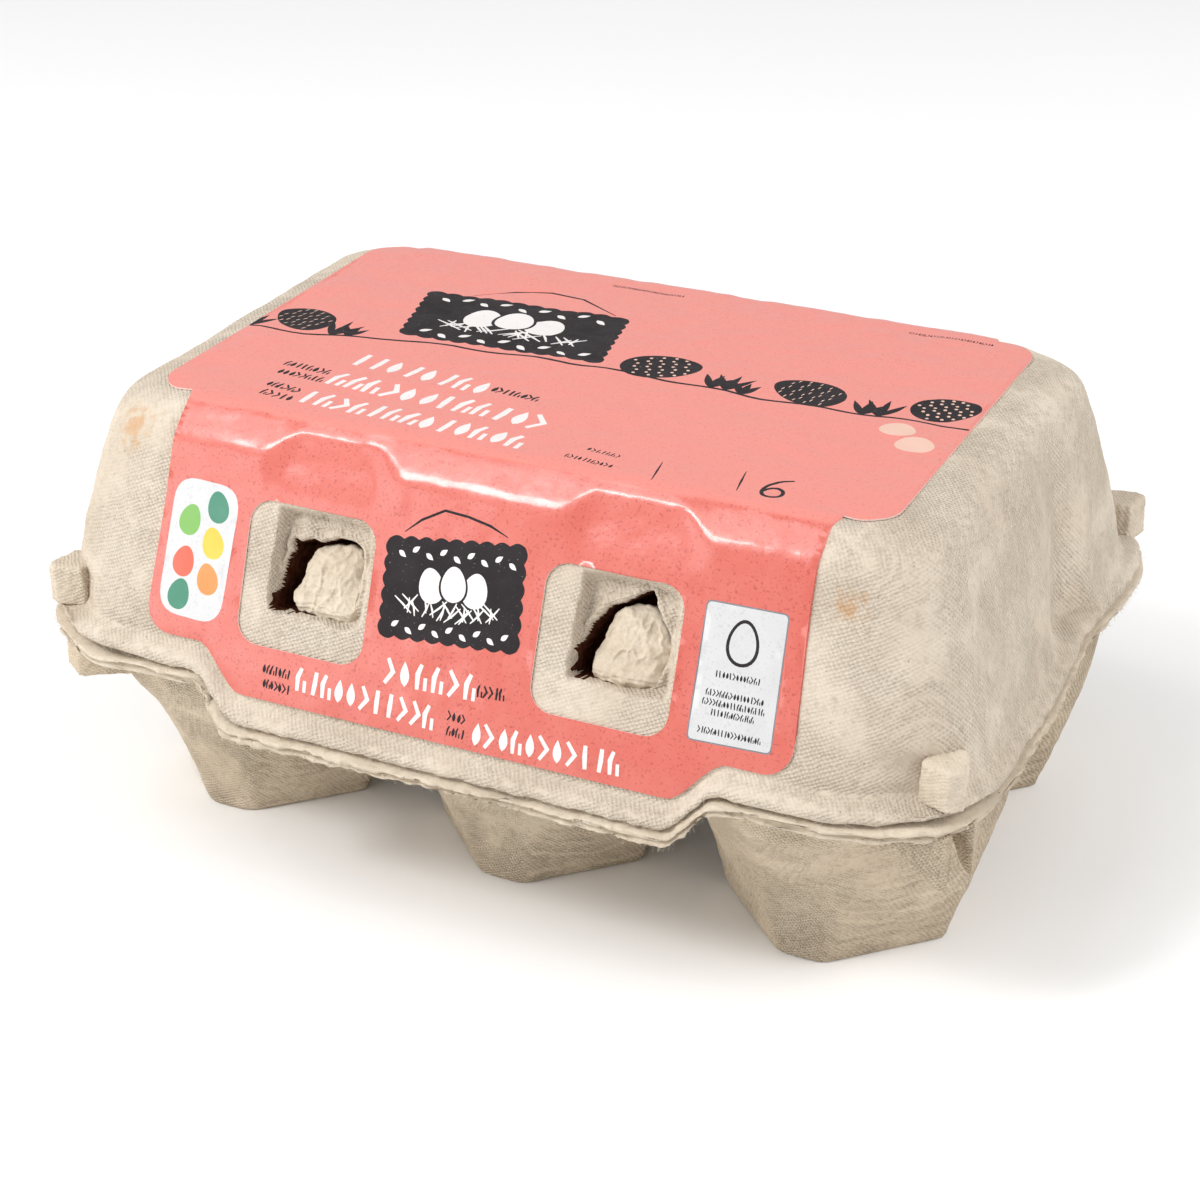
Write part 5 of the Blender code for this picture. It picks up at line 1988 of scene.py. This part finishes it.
@dataclass(frozen=True)
class Studio:
    """Camera at the photograph's angle, pale floor and soft lights."""

    place: tuple[float, float, float] = (0.1477, -0.3168, 0.2097)
    azimuth: float = 25.17
    elevation: float = 27.23
    lens: float = 75.23

    def camera(self) -> None:
        """Adds the camera and makes it the scene's own."""
        az, el = math.radians(self.azimuth), math.radians(self.elevation)
        right = Vector((math.cos(az), math.sin(az), 0))
        back = Vector((math.sin(az) * math.cos(el), -math.cos(az) * math.cos(el), math.sin(el)))
        axes = Matrix((right, back.cross(right), back)).transposed().to_4x4()
        data = bpy.data.cameras.new("camera")
        data.lens, data.sensor_width, data.clip_start = self.lens, 36.0, 0.01
        camera = bpy.data.objects.new("camera", data)
        camera.matrix_world = Matrix.Translation(self.place) @ axes
        bpy.context.scene.collection.objects.link(camera)
        bpy.context.scene.camera = camera

    def lamp(self, name: str, towards: Sequence[float], away: float, size: float, power: float) -> None:
        """Adds a square soft box that shines at the carton.

        Args:
            name: its name.
            towards: direction from the carton to the lamp.
            away: distance in metres.
            size: side in metres.
            power: watts.
        """
        data = bpy.data.lights.new(name, "AREA")
        data.energy, data.size = power, size
        lamp = bpy.data.objects.new(name, data)
        direction = Vector(towards).normalized()
        lamp.location = Vector((0, 0, 0.035)) + direction * away
        lamp.rotation_euler = direction.to_track_quat("Z", "Y").to_euler()
        bpy.context.scene.collection.objects.link(lamp)

    def floor(self) -> None:
        """Adds the floor."""
        side, count = 3.0, 24
        axis = np.linspace(-side, side, count + 1)
        points = [(x, y, 0.0) for y in axis for x in axis]
        corners = [row * (count + 1) + column for row in range(count) for column in range(count)]
        faces = [(here, here + 1, here + count + 2, here + count + 1) for here in corners]
        floor = new_object("floor", mesh_of("floor", np.array(points), faces))
        floor.data.materials.append(FloorFinish("floor_pale").make())

    def set_up(self) -> None:
        """Adds everything, and a white surround."""
        self.camera()
        self.floor()
        self.lamp("key", (-0.42, -0.60, 0.75), 0.9, 0.20, 2.8)
        self.lamp("sheen", (-0.40, -0.38, 0.85), 0.9, 0.45, 2.1)
        self.lamp("right_fill", (0.95, 0.12, 0.72), 1.1, 0.8, 6.0)
        self.lamp("low_fill", (-0.85, -0.90, 0.13), 1.1, 0.7, 4.2)
        scene = bpy.context.scene
        world = bpy.data.worlds.new("surround")
        world.use_nodes = True
        ground = world.node_tree.nodes["Background"]
        ground.inputs[0].default_value = (1.0, 1.0, 1.0, 1.0)
        ground.inputs[1].default_value = 0.60
        scene.world = world
        scene.view_settings.view_transform = "Standard"
        scene.view_settings.look = "None"
        scene.view_settings.exposure = 0.0


# ---------------------------------------------------------------- carton

LID_LUG = LugPlan(((70.4, -46.1), (72.2, -44.8), (71.0, -39.5), (65.6, -38.5), (66.2, -45.0)), 35.3, 41.5, 0.04, 1.05,
                  0.2, (70.4, -46.1))
GUSSET = LugPlan(((65.2, -49.0), (70.0, -45.4), (69.5, -37.0), (56.0, -36.5), (57.2, -44.2)), 25.2, 32.2, 0.0, 0.95)
TORN_GUSSET = LugPlan(((63.4, -50.3), (71.2, -46.9), (71.4, -45.3), (64.6, -42.0)), 23.8, 32.2, 0.0, 0.10, 0.2,
                      (71.2, -46.6))
SIDE_GUSSET = LugPlan(((72.2, -42.6), (73.4, -42.4), (73.0, -36.0), (66.0, -36.0)), 24.4, 32.2, 0.0, 0.30, 0.2,
                      (73.2, -42.0))
FIN = LugPlan(((70.2, -46.6), (71.3, -45.6), (61.5, -35.0), (59.5, -37.0)), 24.4, 32.2, 0.0, 0.88, 0.2, (71.2, -46.6))
FOUR = ((1, 1), (-1, 1), (1, -1), (-1, -1))


class EggCarton:
    """The whole carton: lid, tray, latches, label and loose fibre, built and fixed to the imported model."""

    def __init__(self) -> None:
        """Takes the shared surface rules."""
        self.form = CartonForm()

    def dress(self, piece: bpy.types.Object, replaced: Sequence[str] = ()) -> None:
        """Fixes a finished piece to the carton's body.

        Args:
            piece: the piece.
            replaced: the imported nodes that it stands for.
        """
        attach(piece, BODY)
        if replaced:
            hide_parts(*replaced)
        LOG.info("%s: %d faces", piece.name, len(piece.data.polygons))

    def near_rim(self, low: float, high: float) -> Callable[[Points, Points], np.ndarray]:
        """Picks outward faces near the rim.

        Args:
            low: least height over the rim's lower edge.
            high: greatest height.

        Returns:
            Rule of face centres and face normals.
        """
        def keep(centres: Points, normals: Points) -> np.ndarray:
            """Which faces carry fuzz, from their centres and normals."""
            x, y, z = centres.T
            edge = np.where(y < 0, self.form.rim_height(x), self.form.rim_z)
            outside = np.hypot(x / RIM_OVAL[0], y / RIM_OVAL[1]) > 0.82
            upright = np.hypot(normals[:, 0], normals[:, 1]) > 0.3
            return (z - edge > low) & (z - edge < high) & outside & upright
        return keep

    def build(self) -> None:
        """Builds the pieces in order and reports each."""
        lid = LidShell(self.form, WINDOWS).build()
        label = PaperLabel(self.form, lid, Print(self.form).lay_out()).build()
        lugs = CornerLugs("lid_lugs", [(LID_LUG, x, y) for x, y in FOUR], LUG_PULP).build()
        tray = TrayShell(self.form).build()
        gussets = CornerLugs("tray_gussets", [(TORN_GUSSET if (x, y) == (1, 1) else GUSSET, x, y) for x, y in FOUR]
                             + [(SIDE_GUSSET, 1, 1), (FIN, 1, 1)],
                             TRAY_PULP).build()
        knobs = LatchKnobs(self.form, WINDOWS).build()
        hair = FIBRE_PULP.make()
        lid_hairs = PulpFuzz("lid_rim_fuzz", Scrap.HAIR, 3.6e6, 1.05 * MM, 0.020, 1.3, 3).strewn_on(
            lid, self.near_rim(-0.0006, 0.0012), hair)
        tray_hairs = PulpFuzz("tray_rim_fuzz", Scrap.HAIR, 3.5e6, 1.05 * MM, 0.020, 1.3, 5).strewn_on(
            tray, self.near_rim(-0.0024, -0.0002), hair)
        crumbs = PulpFuzz("tray_rim_crumbs", Scrap.CRUMB, 0.35e6, 0.50 * MM, 0.03, 1.4, 8).strewn_on(
            tray, self.near_rim(-0.0026, -0.0008), TORN_PULP.make())
        self.dress(lid, ("lid",))
        self.dress(lugs)
        self.dress(lid_hairs)
        self.dress(label, ("label",))
        self.dress(tray, ("tray",))
        self.dress(gussets)
        self.dress(knobs)
        self.dress(tray_hairs)
        self.dress(crumbs)


def main() -> None:
    """Builds the carton and the studio."""
    logging.basicConfig(level=logging.INFO, format="%(name)s: %(message)s", stream=sys.stdout)
    Studio().set_up()
    EggCarton().build()


if __name__ == "__main__":
    main()
